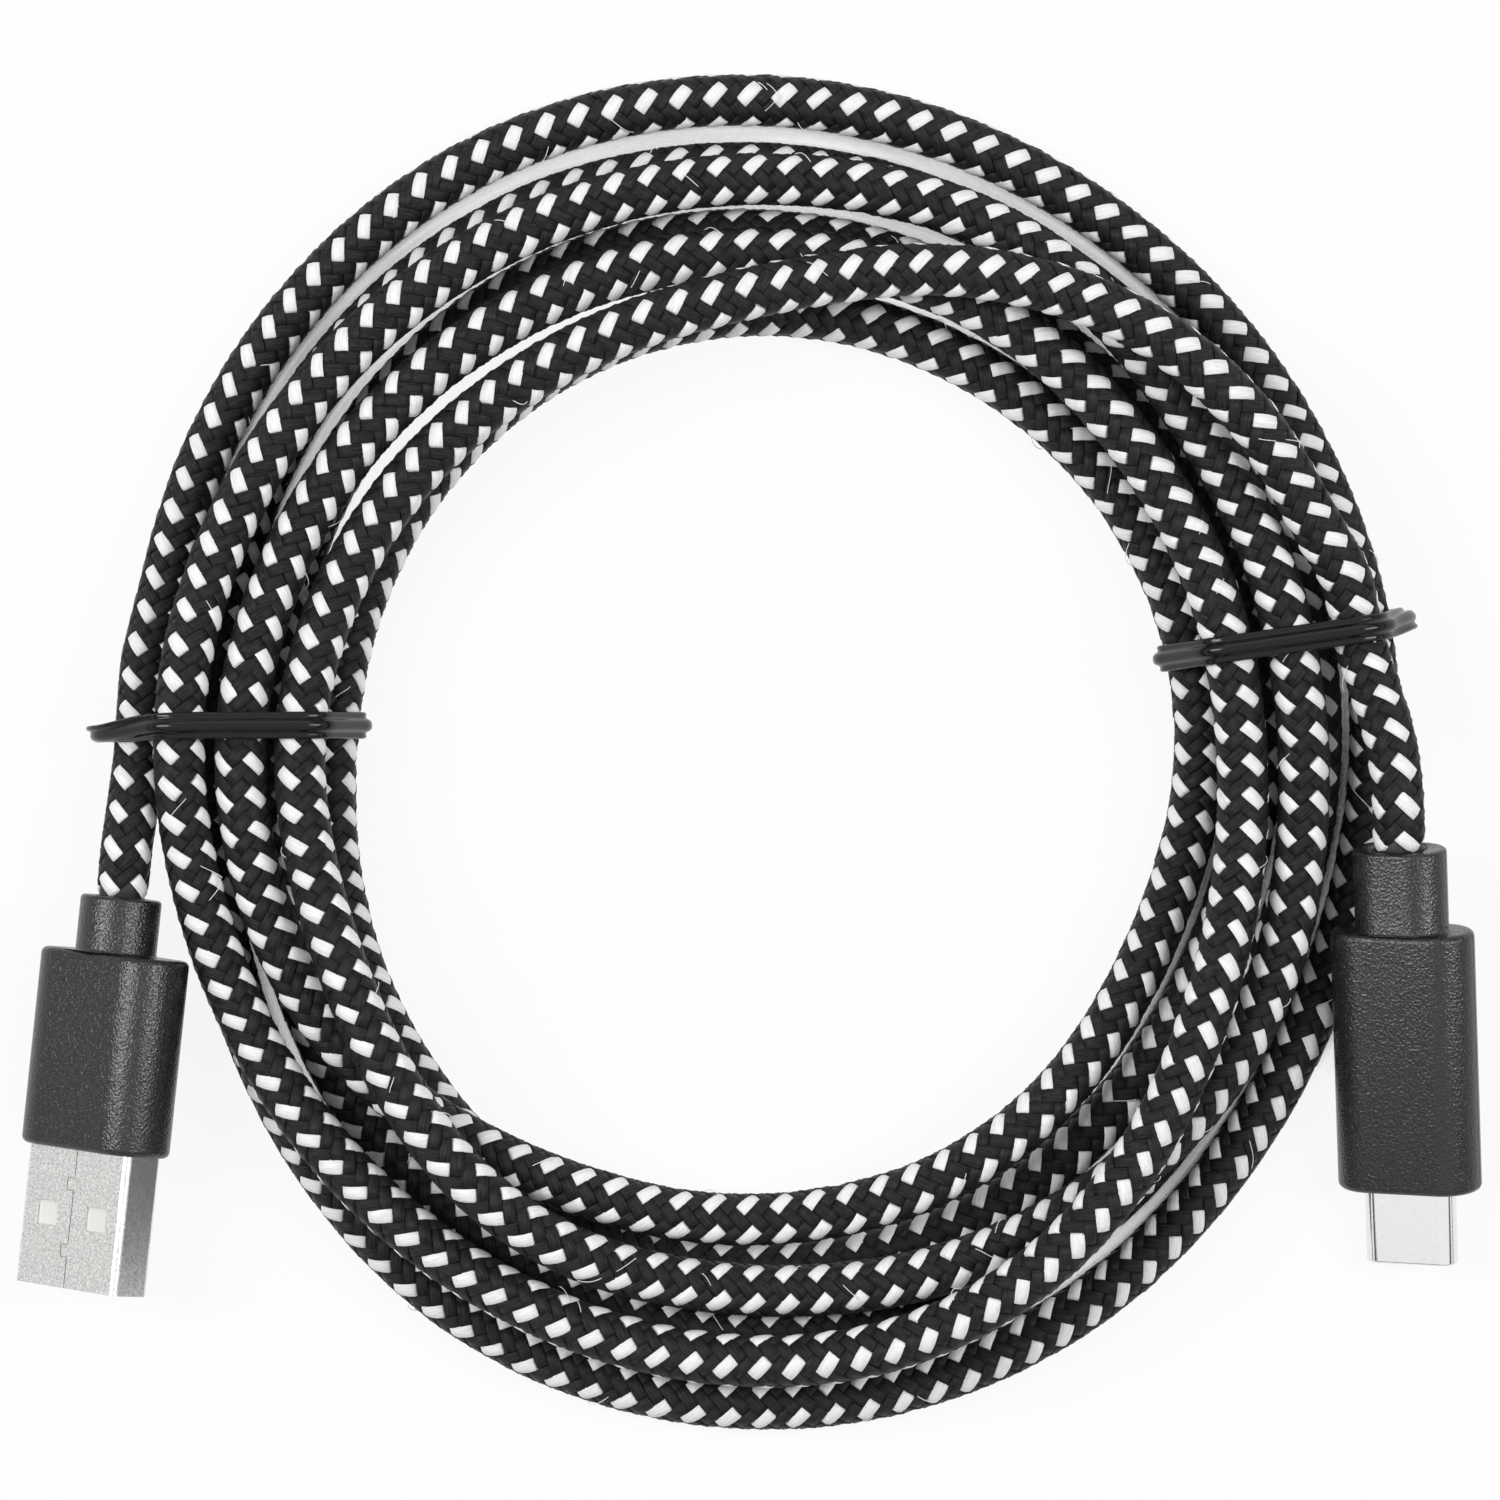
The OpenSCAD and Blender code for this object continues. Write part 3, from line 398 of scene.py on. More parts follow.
class Net:
    """A node tree that is filled in by short calls."""

    def __init__(self, tree):
        self.tree = tree

    def add(self, kind, inputs=None, **settings):
        made = self.tree.nodes.new("ShaderNode" + kind)
        for key, value in settings.items():
            setattr(made, key, value)
        for key, value in (inputs or {}).items():
            if isinstance(value, bpy.types.NodeSocket):
                self.tree.links.new(value, made.inputs[key])
            else:
                made.inputs[key].default_value = value
        return made

    def ramp(self, value, stops):
        made = self.add("ValToRGB", {"Fac": value})
        elements = made.color_ramp.elements
        while len(elements) < len(stops):
            elements.new(0.5)
        for element, (at, shade) in zip(elements, stops):
            element.position = at
            element.color = (*shade, 1) if isinstance(shade, tuple) else (shade, shade, shade, 1)
        return made.outputs["Color"]

    def mix(self, factor, a, b):
        """Colour a where the factor is 0 and b where it is 1."""
        made = self.add("Mix", data_type="RGBA")
        for key, value in ((0, factor), (6, a), (7, b)):
            if isinstance(value, bpy.types.NodeSocket):
                self.tree.links.new(value, made.inputs[key])
            elif key == 0:
                made.inputs[key].default_value = value
            else:
                made.inputs[key].default_value = (*value, 1)
        return made.outputs[2]

    def math(self, operation, *values):
        return self.add("Math", dict(enumerate(values)), operation=operation).outputs[0]

    def noise(self, vector, scale=1.0, detail=1.0, **inputs):
        return self.add("TexNoise", {"Vector": vector, "Scale": scale, "Detail": detail, **inputs})

    def mapped(self, vector, scale):
        return self.add("Mapping", {"Vector": vector, "Scale": scale}).outputs[0]


def group(name, inputs, outputs):
    """An empty node group with named sockets. Returns its net, its inputs and its output node."""
    tree = bpy.data.node_groups.new(name, "ShaderNodeTree")
    for label, kind in inputs:
        tree.interface.new_socket(label, in_out="INPUT", socket_type="NodeSocket" + kind)
    for label, kind in outputs:
        tree.interface.new_socket(label, in_out="OUTPUT", socket_type="NodeSocket" + kind)
    entry = tree.nodes.new("NodeGroupInput")
    leave = tree.nodes.new("NodeGroupOutput")
    return Net(tree), entry.outputs, leave


def filament_group():
    """Fine fibres along a yarn. Place is in millimetres: along the yarn, then across it."""
    net, given, leave = group("filaments", [("Place", "Vector")],
                              [("Height", "Float"), ("Shade", "Float")])
    place = given["Place"]
    sweep = net.noise(net.mapped(place, (0.7, 0.7, 1)))
    aside = net.add("VectorMath", {0: sweep.outputs["Color"], 1: (0, 0.35, 0)},
                    operation="MULTIPLY")
    bent = net.add("VectorMath", {0: place, 1: aside.outputs[0]}, operation="ADD").outputs[0]
    thick = net.noise(net.mapped(bent, (0.5, 9, 1)), detail=2.0).outputs["Fac"]
    thin = net.noise(net.mapped(bent, (1.1, 24, 1))).outputs["Fac"]
    both = net.math("ADD", net.math("MULTIPLY", thick, 0.6), net.math("MULTIPLY", thin, 0.4))
    dull = net.noise(net.mapped(place, (0.45, 0.45, 1)), detail=2.0)
    net.tree.links.new(both, leave.inputs["Height"])
    net.tree.links.new(dull.outputs["Fac"], leave.inputs["Shade"])
    return net.tree


def grain_group():
    """Spark-eroded mould grain. Size is the width of a grain in millimetres."""
    net, given, leave = group("grain", [("Size", "Float")],
                              [("Height", "Float"), ("Patch", "Float")])
    where = net.add("TexCoord").outputs["Object"]
    per_metre = net.math("DIVIDE", 1000.0, given["Size"])
    cells = net.noise(where, per_metre, 2.0, Roughness=0.55, Distortion=0.4)
    pits = net.add("TexVoronoi", {"Vector": where, "Scale": net.math("MULTIPLY", per_metre, 1.3)},
                   feature="SMOOTH_F1")
    height = net.math("ADD", net.math("MULTIPLY", cells.outputs["Fac"], 0.7),
                      net.math("MULTIPLY", pits.outputs["Distance"], 0.5))
    patch = net.noise(where, net.math("MULTIPLY", per_metre, 0.04), 2.0)
    net.tree.links.new(height, leave.inputs["Height"])
    net.tree.links.new(patch.outputs["Fac"], leave.inputs["Patch"])
    return net.tree


FILAMENTS = filament_group()
GRAIN = grain_group()


def material(name):
    """A new material, its net and its Principled shader."""
    mat = bpy.data.materials.new(name)
    mat.use_nodes = True
    net = Net(mat.node_tree)
    shader = next(n for n in mat.node_tree.nodes if n.type == "BSDF_PRINCIPLED")
    return mat, net, shader


def shade(net, shader, **inputs):
    """Sets or links the shader's own sockets by short names."""
    names = {"color": "Base Color", "roughness": "Roughness", "metallic": "Metallic",
             "normal": "Normal", "specular": "Specular IOR Level", "sheen": "Sheen Weight",
             "sheen_roughness": "Sheen Roughness"}
    for key, value in inputs.items():
        socket = shader.inputs[names[key]]
        if isinstance(value, bpy.types.NodeSocket):
            net.tree.links.new(value, socket)
        else:
            socket.default_value = (*value, 1) if isinstance(value, tuple) else value


def use_group(net, tree, **inputs):
    return net.add("Group", inputs, node_tree=tree).outputs


def relief(net, height, depth, strength):
    """A bump of a depth in millimetres."""
    made = net.add("Bump", {"Strength": strength, "Distance": depth * MM, "Height": height})
    return made.outputs[0]


def yarn_material(name, dark, light, rough, depth, sheen, gloss):
    """Filaments side by side, dull in patches."""
    mat, net, shader = material(name)
    place = net.add("UVMap", uv_map="surface").outputs["UV"]
    made = use_group(net, FILAMENTS, Place=place)
    fibre = net.ramp(made["Height"], [(0.34, dark), (0.58, light)])
    color = net.mix(net.math("MULTIPLY", made["Shade"], 0.35), fibre, dark)
    shade(net, shader, color=color, roughness=rough, normal=relief(net, made["Height"], depth, 0.8),
          sheen=sheen, sheen_roughness=0.4, specular=gloss)
    return mat


def moulded_plastic(name, base, size, depth, rough, gloss=0.5):
    """Plastic with a fine eroded grain."""
    mat, net, shader = material(name)
    made = use_group(net, GRAIN, Size=size)
    color = net.mix(made["Patch"], tuple(c * 0.85 for c in base), tuple(c * 1.15 for c in base))
    roughness = net.ramp(made["Height"], [(0.3, rough + 0.1), (0.8, rough - 0.08)])
    shade(net, shader, color=color, roughness=roughness,
          normal=relief(net, made["Height"], depth, 0.9), specular=gloss)
    return mat


def plated_metal(name, base, rough, size, depth, fleck):
    """Plated sheet with a fine grain that catches the light."""
    mat, net, shader = material(name)
    made = use_group(net, GRAIN, Size=size)
    dull = tuple(c * (1 - fleck) for c in base)
    color = net.ramp(made["Height"], [(0.35, dull), (0.75, base)])
    shade(net, shader, color=color, roughness=rough, metallic=1.0,
          normal=relief(net, made["Height"], depth, 0.7))
    return mat


WHITE_YARN = yarn_material("white_yarn", dark=(0.72, 0.72, 0.72), light=(0.97, 0.97, 0.97),
                           rough=0.5, depth=0.08, sheen=0.1, gloss=0.25)
BLACK_YARN = yarn_material("black_yarn", dark=(0.001, 0.001, 0.001), light=(0.034, 0.033, 0.033),
                           rough=0.38, depth=0.16, sheen=0.0, gloss=0.13)
OVERMOULD = moulded_plastic("overmould", base=(0.010, 0.010, 0.0105), size=0.26, depth=0.1,
                            rough=0.25, gloss=0.55)
SATIN_NICKEL = plated_metal("satin_nickel", base=(0.96, 0.945, 0.93), rough=0.27, size=0.22,
                            depth=0.02, fleck=0.4)
BRIGHT_NICKEL = plated_metal("bright_nickel", base=(0.84, 0.84, 0.84), rough=0.12, size=0.30,
                             depth=0.0015, fleck=0.05)
TIE_PLASTIC = moulded_plastic("tie_plastic", base=(0.004, 0.004, 0.0042), size=0.5, depth=0.003,
                              rough=0.17, gloss=0.3)
WHITE_PLASTIC = moulded_plastic("white_plastic", base=(0.80, 0.80, 0.78), size=0.5, depth=0.008,
                                rough=0.35)
BLACK_PLASTIC = moulded_plastic("black_plastic", base=(0.02, 0.02, 0.021), size=0.4, depth=0.01,
                                rough=0.4)
CREAM_PLASTIC = moulded_plastic("cream_plastic", base=(0.62, 0.59, 0.50), size=0.5, depth=0.01,
                                rough=0.4)
GOLD = plated_metal("gold", base=(0.86, 0.62, 0.26), rough=0.22, size=0.3, depth=0.003, fleck=0.1)
STEEL = plated_metal("steel", base=(0.62, 0.61, 0.60), rough=0.28, size=0.4, depth=0.004,
                     fleck=0.15)
BOARD = moulded_plastic("board", base=(0.03, 0.12, 0.06), size=0.6, depth=0.01, rough=0.35)
CORE = moulded_plastic("cord_core", base=(0.008, 0.008, 0.008), size=0.5, depth=0.02, rough=0.6)

NODE_LOOKS = {
    "usb_a_inner_mould": CREAM_PLASTIC, "usb_c_inner_mould": CREAM_PLASTIC,
    "usb_a_tongue": WHITE_PLASTIC, "usb_c_contact_housing": BLACK_PLASTIC,
    "usb_a_contacts": GOLD, "usb_c_contacts_upper": GOLD, "usb_c_contacts_lower": GOLD,
    "usb_c_latch_springs": STEEL, "usb_c_ground_springs": STEEL, "usb_c_shield_can": STEEL,
    "usb_a_crimp_band": STEEL, "usb_c_crimp_band": STEEL,
    "usb_c_circuit_board": BOARD, "usb_c_board_resistor": BLACK_PLASTIC,
    "usb_a_cord_end": BLACK_YARN, "usb_c_cord_end": BLACK_YARN,
    "usb_a_cord_jacket": BLACK_PLASTIC, "usb_c_cord_jacket": BLACK_PLASTIC,
    "usb_a_conductors": CREAM_PLASTIC, "usb_c_conductors": CREAM_PLASTIC,
}


def dress(obj, mat):
    """Puts a material in each of an object's slots."""
    if not obj.material_slots:
        obj.data.materials.append(mat)
    for place in obj.material_slots:
        place.material = mat


for node_name, look in NODE_LOOKS.items():
    dress(nodes[node_name], look)
for piece, look in zip((core, *yarns), (CORE, WHITE_YARN, BLACK_YARN, BLACK_YARN)):
    dress(piece, look)

# ---- Plugs --------------------------------------------------------------------------------------

HOLE_CLEAR = 0.02           # round the cord where it enters a grip
HOLE_DEPTH, HOLE_LIP, HOLE_EDGE = 1.2, 0.15, 0.3
NECK_EDGE, NECK_FILLET = 0.35, 0.25
NECK_RIDGE, BODY_RIDGE = 0.02, 0.03     # the line where the two halves of the mould meet
MOUTH_EDGE, MOUTH_LIP, MOUTH_CLEAR, MOUTH_DEPTH = 0.4, 0.12, 0.06, 1.2
TIP_BACK, TIP_IN_GRIP, TIP_SEEN, TIP_BORE = 6.2, 1.5, 0.5, 3.0
TIP_EDGE, TIP_LIP, TIP_INNER_EDGE = 0.22, 0.03, 0.15
GAP_DEGREES = 6             # of each corner arc, left for the flat beside it
CORNER_STEPS = 8
TOP_STOPS = (0.04, 0.5, 0.96)
SIDE_STOPS = (0.33, 0.5, 0.67)


def ring(w, h, r, ridge=0.0):
    """A rounded rectangle about the middle, as points (x, z), with a ridge along its two sides."""
    arcs = []
    for quarter, (sx, sz) in enumerate(((1, 1), (-1, 1), (-1, -1), (1, -1))):
        a = 90 * quarter + np.linspace(GAP_DEGREES / 2, 90 - GAP_DEGREES / 2, CORNER_STEPS + 1)
        arcs.append(np.stack([sx * (w / 2 - r) + r * cosd(a), sz * (h / 2 - r) + r * sind(a)], -1))
    points = []
    for quarter in range(4):
        arc, following = arcs[quarter], arcs[(quarter + 1) % 4]
        points.append(arc)
        side = quarter % 2 == 1
        for stop in SIDE_STOPS if side else TOP_STOPS:
            p = arc[-1] + (following[0] - arc[-1]) * stop
            if side and stop == 0.5:
                p = p + (math.copysign(ridge, p[0]), 0)
            points.append(p[None])
    return np.vstack(points)


def loft(name, place, sections, look):
    """A skin through rings that each stand at their own distance along a plug."""
    rings = [np.insert(ring(*shape), 1, y, axis=1) for y, *shape in sections]
    count = len(rings[0])
    faces = grid_faces(len(rings), count, [0], closed=True)[:, ::-1].tolist()
    obj = mesh_object(name, place(np.vstack(rings)), faces)
    dress(obj, look)
    return obj


def rounded_edge(y, way, w, h, r, size, steps=5, ridge=0.0):
    """Sections that round an edge over: from the face at y, along way, to the full width."""
    out = []
    for a in np.linspace(0, 90, steps):
        inset = size * (1 - sind(a))
        run = size * (1 - cosd(a))
        out.append([y + way * run, w - 2 * inset, h - 2 * inset, r - inset, ridge])
    return out


def overmould(name, place, neck, neck_l, body, front, hole, mouth):
    """A plug's moulded grip: neck and body, with the cord's hole and the metal shell's mouth."""
    nw, nh, nr = neck
    w, h, r = body
    lip = hole + HOLE_EDGE
    sections = [[HOLE_DEPTH, hole, hole, hole / 2], [HOLE_LIP, hole, hole, hole / 2],
                [0.0, lip, lip, lip / 2]]
    sections += rounded_edge(0, 1, nw, nh, nr, NECK_EDGE, ridge=NECK_RIDGE)
    for a in np.linspace(0, 90, 4):
        out = NECK_FILLET * (1 - cosd(a))
        y = neck_l - NECK_FILLET + NECK_FILLET * sind(a)
        sections.append([y, nw + 2 * out, nh + 2 * out, nr + out, NECK_RIDGE])
    sections += rounded_edge(neck_l, 1, w, h, r, EDGE, steps=7, ridge=BODY_RIDGE)
    sections += rounded_edge(front, -1, w, h, r, EDGE, steps=7, ridge=BODY_RIDGE)[::-1]
    mw, mh, mr = mouth
    inner = [mw + MOUTH_CLEAR, mh + MOUTH_CLEAR, mr]
    sections += [[front, mw + MOUTH_EDGE, mh + MOUTH_EDGE, mr + MOUTH_EDGE / 2],
                 [front - MOUTH_LIP, *inner], [front - MOUTH_DEPTH, *inner]]
    return loft(name, place, sections, OVERMOULD)


def usb_a_overmould():
    w, h, _, r = A_BODY
    d, length = A_NECK
    sw, sh, _, _, sr = A_SHELL
    obj = overmould("usb_a_grip", usb_a, (d, d, d / 2), length, (w, h, r), A_FRONT,
                    CORD_D + HOLE_CLEAR, (sw, sh, sr))
    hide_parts("usb_a_overmould")
    return obj


def usb_c_overmould():
    w, h, _ = C_BODY
    nw, nh, length = C_NECK
    tw, th, _, _ = C_TIP
    obj = overmould("usb_c_grip", usb_c, (nw, nh, nh / 2), length, (w, h, h / 2), C_FRONT,
                    CORD_D + HOLE_CLEAR, (tw, th, th / 2))
    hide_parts("usb_c_overmould")
    return obj


def usb_c_tip():
    """The drawn metal tip, open at both ends, with its sheet's thickness."""
    w, h, out, t = C_TIP
    front = C_FRONT + out
    outer, inner = (w, h, h / 2), (w - 2 * t, h - 2 * t, h / 2 - t)
    flared = (inner[0] + 0.02, inner[1] + 0.02, inner[2])
    sections = [[C_FRONT - TIP_BACK, *inner], [C_FRONT - TIP_BACK, *outer],
                [C_FRONT - TIP_IN_GRIP, *outer], [C_FRONT + TIP_SEEN, *outer]]
    sections += rounded_edge(front, -1, *outer, TIP_EDGE, steps=6)[::-1]
    sections += [[front - TIP_LIP, *flared], [front - TIP_INNER_EDGE, *inner],
                 [front - TIP_BORE, *inner], [C_FRONT - TIP_BACK, *inner]]
    obj = loft("usb_c_tip", usb_c, sections, BRIGHT_NICKEL)
    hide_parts("usb_c_tip_shell")
    return obj


plugs = [usb_a_overmould(), usb_c_overmould(), usb_c_tip()]
dress(nodes["usb_a_shell"], SATIN_NICKEL)

# ---- Twist ties ---------------------------------------------------------------------------------

# A strip's section, then its twisted ends.
TIE_W = 2.4
TIE_WING_T = 0.45
TIE_RIB_W = 1.0
TIE_WIRE_D = 0.5
TIE_TWIST_L = 7.0
TWIST_R = 0.85              # height of the middle of the twisted ends
TWIST_STRAND_R = 0.42
TWIST_TURN = 720            # degrees
# For the left tie, then the right one.
TWIST_SIDES = (1, -1)
STRIP_LEAN = (4.5, 0)       # degrees by which the strip has slid askew on the bundle
FOLD_TURN = (-60, -34)      # degrees by which the strip turns on edge round the outermost turn
FOLD_OUT = (1.3, 1.15)      # how far it stands out there
FOLD_ALONG = (0.6, 0.35)    # how far it lies to one side there
FOLD_LENGTH = (6.5, 4.5)    # distance over which it straightens
ARC_STEP = 6                # degrees from ring to ring round a corner of the bundle
STRAIGHT_STEP = 0.9         # distance from ring to ring between corners
TWIST_STEPS = 40
TWIST_FACES = 8

# Half of the strip's section from one wing to the middle of the rib, as across and outwards.
STRIP_HALF = [(-TIE_W / 2, 0.14), (-TIE_W / 2 + 0.04, 0.32), (-TIE_W / 2 + 0.2, TIE_WING_T),
              (-0.8, TIE_WING_T - 0.06), (-TIE_RIB_W / 2 - 0.12, TIE_WING_T),
              (-TIE_RIB_W / 2, 0.72), (-0.3, 0.91), (0, TIE_RIB_T)]
STRIP_SECTION = [*STRIP_HALF, *((-x, y) for x, y in STRIP_HALF[-2::-1]),
                 (1.1, 0.02), (0, 0), (-1.1, 0.02)]
WIRE_SECTION = [(x * TIE_WIRE_D / 2, TIE_RIB_T / 2 + y * TIE_WIRE_D / 2)
                for x, y in ((-1, -1), (-1, 1), (1, 1), (1, -1))]


def hull_of(points):
    """The corners of the tightest loop round flat points, taken against the clock."""
    points = sorted(tuple(p) for p in points)

    def turns_left(a, b, c):
        return (b[0] - a[0]) * (c[1] - b[1]) - (b[1] - a[1]) * (c[0] - b[0]) > 0

    def chain(row):
        kept = []
        for p in row:
            while len(kept) > 1 and not turns_left(kept[-2], kept[-1], p):
                kept.pop()
            kept.append(p)
        return kept[:-1]

    return np.array(chain(points) + chain(points[::-1]))


class Tie:
    """A strip round the bundle. Its own x runs outwards, its y across the strip and its z up."""

    def __init__(self, index):
        self.index = index
        self.angle, self.skew = TIE_ANGLES[index], TIE_SKEWS[index] + STRIP_LEAN[index]
        turns = (90 - self.angle) / 360 + np.arange(int(COIL_TURNS) + 1)
        turns = turns[(turns > COIL_START) & (turns < COIL_START + COIL_TURNS)]
        lead = (A_LEAD_POINTS[2], C_LEAD_POINTS[0])[index]
        held = np.vstack([coil_point(turns), lead])
        from_middle = held[:, :2] - COIL_CENTRE
        reach = from_middle[:, 0] * cosd(self.angle) + from_middle[:, 1] * sind(self.angle)
        self.bundle = np.stack([reach, held[:, 2]], -1)

    def __call__(self, points):
        p = np.asarray(points, float) - (COIL_INNER_R, 0, 0)
        p = p @ turned_about("Z", self.skew).T + (COIL_INNER_R, 0, 0)
        return p @ turned_about("Z", self.angle).T + (*COIL_CENTRE, 0)

    def loop(self):
        """Points and outward angles along the loop that keeps its clearance from the bundle."""
        corners = hull_of(self.bundle)
        radius = CORD_D / 2 + TIE_CLEAR
        edges = np.roll(corners, -1, axis=0) - corners
        out = np.arctan2(-edges[:, 0], edges[:, 1])
        points, angles = [], []
        for k in range(len(corners)):
            swing = (out[k] - out[k - 1]) % (2 * math.pi)
            steps = max(2, int(math.degrees(swing) / ARC_STEP) + 1)
            arc = out[k - 1] + swing * np.linspace(0, 1, steps)
            points += [corners[k] + radius * np.array([math.cos(f), math.sin(f)]) for f in arc]
            angles += list(arc)
            run = np.linalg.norm(edges[k])
            for share in np.linspace(0, 1, int(run / STRAIGHT_STEP) + 2)[1:-1]:
                points.append(corners[k] + edges[k] * share
                              + radius * np.array([math.cos(out[k]), math.sin(out[k])]))
                angles.append(out[k])
        return np.array(points + points[:1]), np.array(angles + angles[:1])

    def swept(self, section):
        """A section carried round the loop, and turned on edge at the outer end."""
        points, angles = self.loop()
        run = np.concatenate([[0], np.cumsum(np.linalg.norm(np.diff(points, axis=0), axis=1))])
        from_end = np.abs(run - run[points[:, 0].argmax()])
        from_end = np.minimum(from_end, run[-1] - from_end)
        fold = np.exp(-(from_end / FOLD_LENGTH[self.index]) ** 2)
        middle = np.stack([points[:, 0], fold * FOLD_ALONG[self.index], points[:, 1]], -1)
        out = np.stack([np.cos(angles), 0 * angles, np.sin(angles)], -1)
        middle = middle + out * (fold * FOLD_OUT[self.index])[:, None]
        turn = (fold * FOLD_TURN[self.index])[:, None]
        across = (0, 1, 0) * cosd(turn) + out * sind(turn)
        outward = out * cosd(turn) - np.array((0, 1, 0)) * sind(turn)
        rings = np.stack([middle + x * across + y * outward for x, y in section], 1)
        rings[..., 2] = np.maximum(rings[..., 2], 0)
        return rings

    def twisted_ends(self):
        """The two ends of the strip, twisted together in a groove underneath."""
        side = TWIST_SIDES[self.index]
        middle = self.bundle[1:3, 0].mean()
        share = np.linspace(0, 1, TWIST_STEPS + 1)
        y = -side * (TIE_W / 2 - EDGE + share * (TIE_TWIST_L + EDGE))
        strands = []
        for start in (0, 180):
            a = start + side * TWIST_TURN * share
            x, z = TWIST_STRAND_R * cosd(a), TWIST_STRAND_R * sind(a)
            centre = np.stack([middle + x, y, TWIST_R + z], -1)
            f = np.linspace(0, 360, TWIST_FACES, endpoint=False)
            outline = TWIST_STRAND_R * np.stack([cosd(f), 0 * f, side * sind(f)], -1)
            strands.append(centre[:, None, :] + outline[None])
        return strands


def joined(name, place, grids, capped):
    """One skin from several grids of rings. Only capped grids are closed at both ends."""
    points, faces = [], []
    for grid, cap in zip(grids, capped):
        start = sum(len(p) for p in points)
        rows, columns = grid.shape[:2]
        faces += grid_faces(rows, columns, [start], closed=True).tolist()
        if cap:
            faces += [[start + k for k in range(columns)],
                      [start + (rows - 1) * columns + k for k in reversed(range(columns))]]
        points.append(grid.reshape(-1, 3))
    return mesh_object(name, place(np.vstack(points)), faces)


def twist_tie(name, index):
    """The plastic strip with its twisted ends, and the wire inside it."""
    tie = Tie(index)
    strip = joined(name + "_strip", tie, [tie.swept(STRIP_SECTION), *tie.twisted_ends()],
                   (False, True, True))
    wire = joined(name + "_core_wire", tie, [tie.swept(WIRE_SECTION)], (False,))
    for piece, node, slot, look in ((strip, name + "_sleeve", "tie", TIE_PLASTIC),
                                    (wire, name + "_wire", "tie_wire", STEEL)):
        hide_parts(node)
        dress(piece, look)


twist_tie("left_tie", 0)
twist_tie("right_tie", 1)

# ---- Loose filaments ----------------------------------------------------------------------------

LOOSE_FILAMENTS = 110
FILAMENT_R = 0.035
FILAMENT_STEPS = 8
FILAMENT_FACES = 5
FILAMENT_SINK = 0.08        # how deep its ends go into the braid
FILAMENT_SLANT = 0.7        # how far it runs along the cord, and round it, for its length
FILAMENT_RUN = (0.9, 2.7)   # shortest and longest
FILAMENT_RISE = (0.12, 0.45)
FREE_END = 0.6              # share of its arch that a filament with a free end keeps


def loose_filaments():
    """Single filaments pulled out of the braid, some as loops and some with a free end."""
    share = np.linspace(0, 1, FILAMENT_STEPS + 1)[None]
    place, way_round, arch, run, rise, angle = DRAWS.random((6, LOOSE_FILAMENTS, 1))
    run = FILAMENT_RUN[0] + (FILAMENT_RUN[1] - FILAMENT_RUN[0]) * run
    rise = FILAMENT_RISE[0] + (FILAMENT_RISE[1] - FILAMENT_RISE[0]) * rise
    slant = FILAMENT_SLANT * share * run
    s = LAY + place * (line.length - 2 * LAY) + slant * np.where(way_round < 0.5, -1, 1)
    angle = math.pi * (angle - 0.5) + slant / BRAID_R
    out = rise * np.sin(math.pi * share * np.where(arch < 0.5, 1, FREE_END))
    middle = line.surface(s, angle, TOP_R - FILAMENT_SINK + out)
    way = unit(np.gradient(middle, axis=1))
    side = unit(np.cross(way, line.at(line.top, s)))
    up = np.cross(side, way)
    turn = np.linspace(0, 2 * math.pi, FILAMENT_FACES, endpoint=False)[:, None]
    outline = np.cos(turn) * side[:, :, None] + np.sin(turn) * up[:, :, None]
    rings = middle[:, :, None] + FILAMENT_R * outline
    obj = joined("loose_filament", lambda points: points, list(rings), [True] * LOOSE_FILAMENTS)
    dress(obj, WHITE_YARN)
    return obj


# ---- The braid's pieces, with the loose filaments -----------------------------------------------

braid = [*yarns, loose_filaments()]

# ---- Floor, world and lamps ---------------------------------------------------------------------

def white_to_view(net):
    """1 for rays from the camera and for reflections, 0 for the light that falls on the object."""
    rays = net.add("LightPath").outputs
    reflected = net.math("MAXIMUM", rays["Is Glossy Ray"], rays["Is Transmission Ray"])
    return net.math("MAXIMUM", rays["Is Camera Ray"], reflected)


FLOOR_HALF = 3.0
FLOOR_DROP = 0.0001         # below the cord, so that the two don't flicker
GAP_REACH = 5               # painted shade: the floor's colour is darkened where strands this near close it in
GAP_RANGE = (0.2, 0.27)
GAP_SHADE_AND_PAPER = (0.08, 0.85)        # painted shade in such a gap, and the paper's own tone in the open
PAPER_WHITE = 0.9           # share of plain white in the open floor as seen


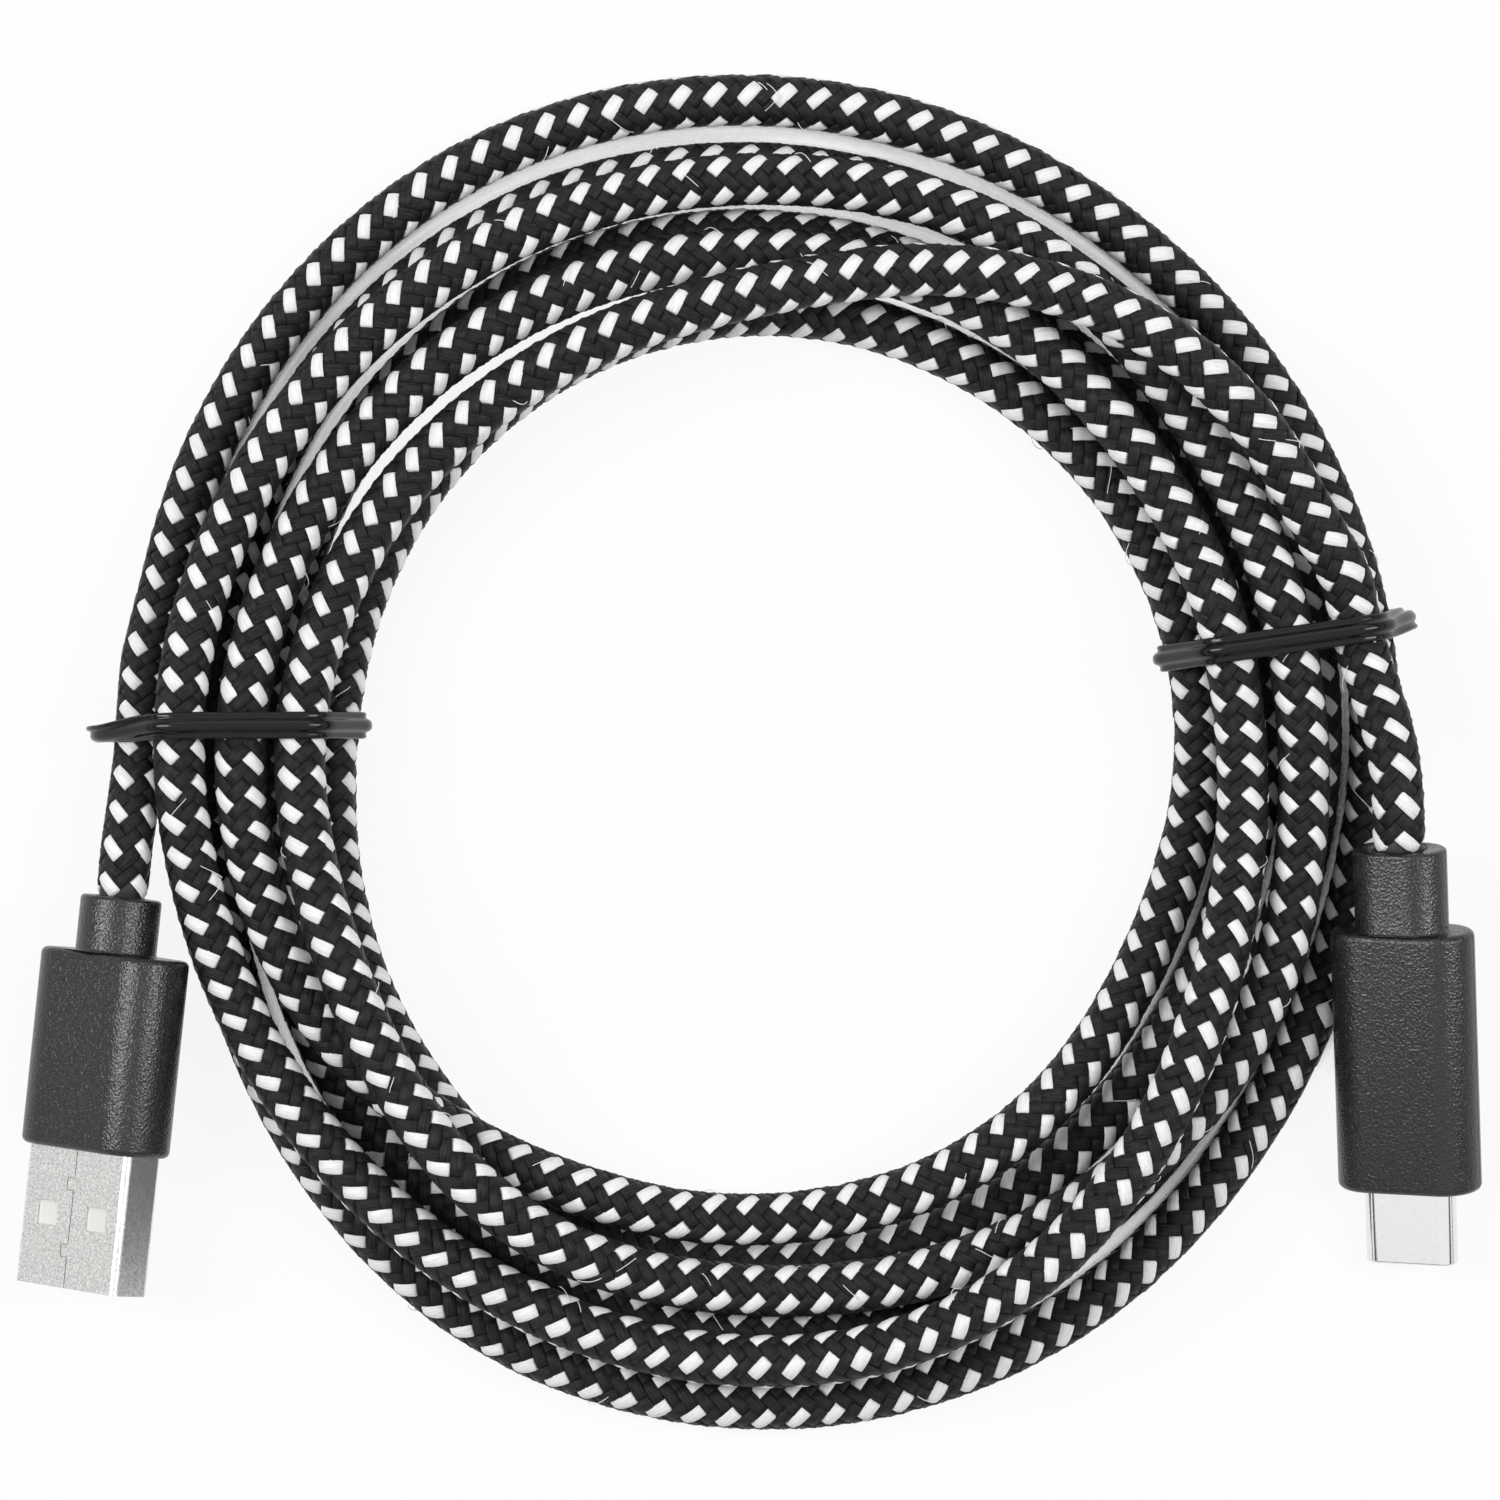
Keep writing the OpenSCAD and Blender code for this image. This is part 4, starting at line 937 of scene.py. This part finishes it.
def floor():
    """White paper that shows plain white but for the object's shadow, and painted shade that
    darkens it in the gaps of the coil.
    """
    mesh = bpy.data.meshes.new("floor")
    corners = [(x * FLOOR_HALF, y * FLOOR_HALF, 0) for x, y in ((-1, -1), (1, -1), (1, 1), (-1, 1))]
    mesh.from_pydata(corners, [], [(0, 1, 2, 3)])
    obj = bpy.data.objects.new("floor", mesh)
    obj.location.z = -FLOOR_DROP
    bpy.context.scene.collection.objects.link(obj)
    mat = bpy.data.materials.new("floor")
    mat.use_nodes = True
    net = Net(mat.node_tree)
    mat.node_tree.nodes.clear()
    seen = white_to_view(net)
    # Painted shade: ambient occlusion darkens the paper's colour and withholds its plain white in
    # the coil's narrow gaps.
    sky = net.add("AmbientOcclusion", {"Distance": GAP_REACH * MM}, samples=16).outputs["AO"]
    low, high = GAP_RANGE
    free_of_gap_shade = net.add("MapRange", {"Value": sky, "From Min": low, "From Max": high}).outputs[0]
    paper_with_painted_gaps = net.add("BsdfDiffuse", {"Color": net.ramp(free_of_gap_shade, list(enumerate(GAP_SHADE_AND_PAPER)))})
    white = net.add("Emission", {"Color": (1, 1, 1, 1), "Strength": 1.0})
    share = net.math("MULTIPLY", seen, net.math("MULTIPLY", free_of_gap_shade, PAPER_WHITE))
    both = net.add("MixShader", {0: share, 1: paper_with_painted_gaps.outputs[0], 2: white.outputs[0]})
    net.add("OutputMaterial", {"Surface": both.outputs[0]})
    mesh.materials.append(mat)


FILL = 0.3                  # how brightly the world lights the object
# What gloss shows at each height: white walls and a white ceiling with dark edges between.
STUDIO = [(0, 0.1), (0.07, 0.1), (0.13, 1), (0.3, 1), (0.36, 0.08), (0.5, 0.08), (0.56, 1)]
LAMPS = [   # name, place, size, power
    ("left_box", (-0.55, 0.10, 0.62), (0.24, 0.5), 4.2),
    ("right_box", (0.55, 0.05, 0.62), (0.20, 0.5), 3.3),
    ("back_box", (0.0, 0.8, 0.7), (0.8, 0.3), 1.0)]


def lamp(name, place, size, power):
    data = bpy.data.lights.new(name, "AREA")
    data.shape = "RECTANGLE"
    data.size, data.size_y = size
    data.energy = power
    obj = bpy.data.objects.new(name, data)
    obj.location = place
    obj.rotation_euler = (-Vector(place)).to_track_quat("-Z", "Y").to_euler()
    bpy.context.scene.collection.objects.link(obj)


def light():
    world = bpy.data.worlds.new("studio")
    world.use_nodes = True
    net = Net(world.node_tree)
    world.node_tree.nodes.clear()
    fill = net.add("Background", {"Color": (1, 1, 1, 1), "Strength": FILL})
    height = net.add("SeparateXYZ", {0: net.add("TexCoord").outputs["Generated"]}).outputs["Z"]
    glossy = net.add("LightPath").outputs["Is Glossy Ray"]
    room = net.mix(glossy, (1, 1, 1), net.ramp(height, STUDIO))
    white = net.add("Background", {"Color": room, "Strength": 1.0})
    both = net.add("MixShader", {0: white_to_view(net), 1: fill.outputs[0], 2: white.outputs[0]})
    net.add("OutputWorld", {"Surface": both.outputs[0]})
    bpy.context.scene.world = world
    for settings in LAMPS:
        lamp(*settings)


floor()
light()
bpy.context.scene.view_settings.view_transform = "Standard"
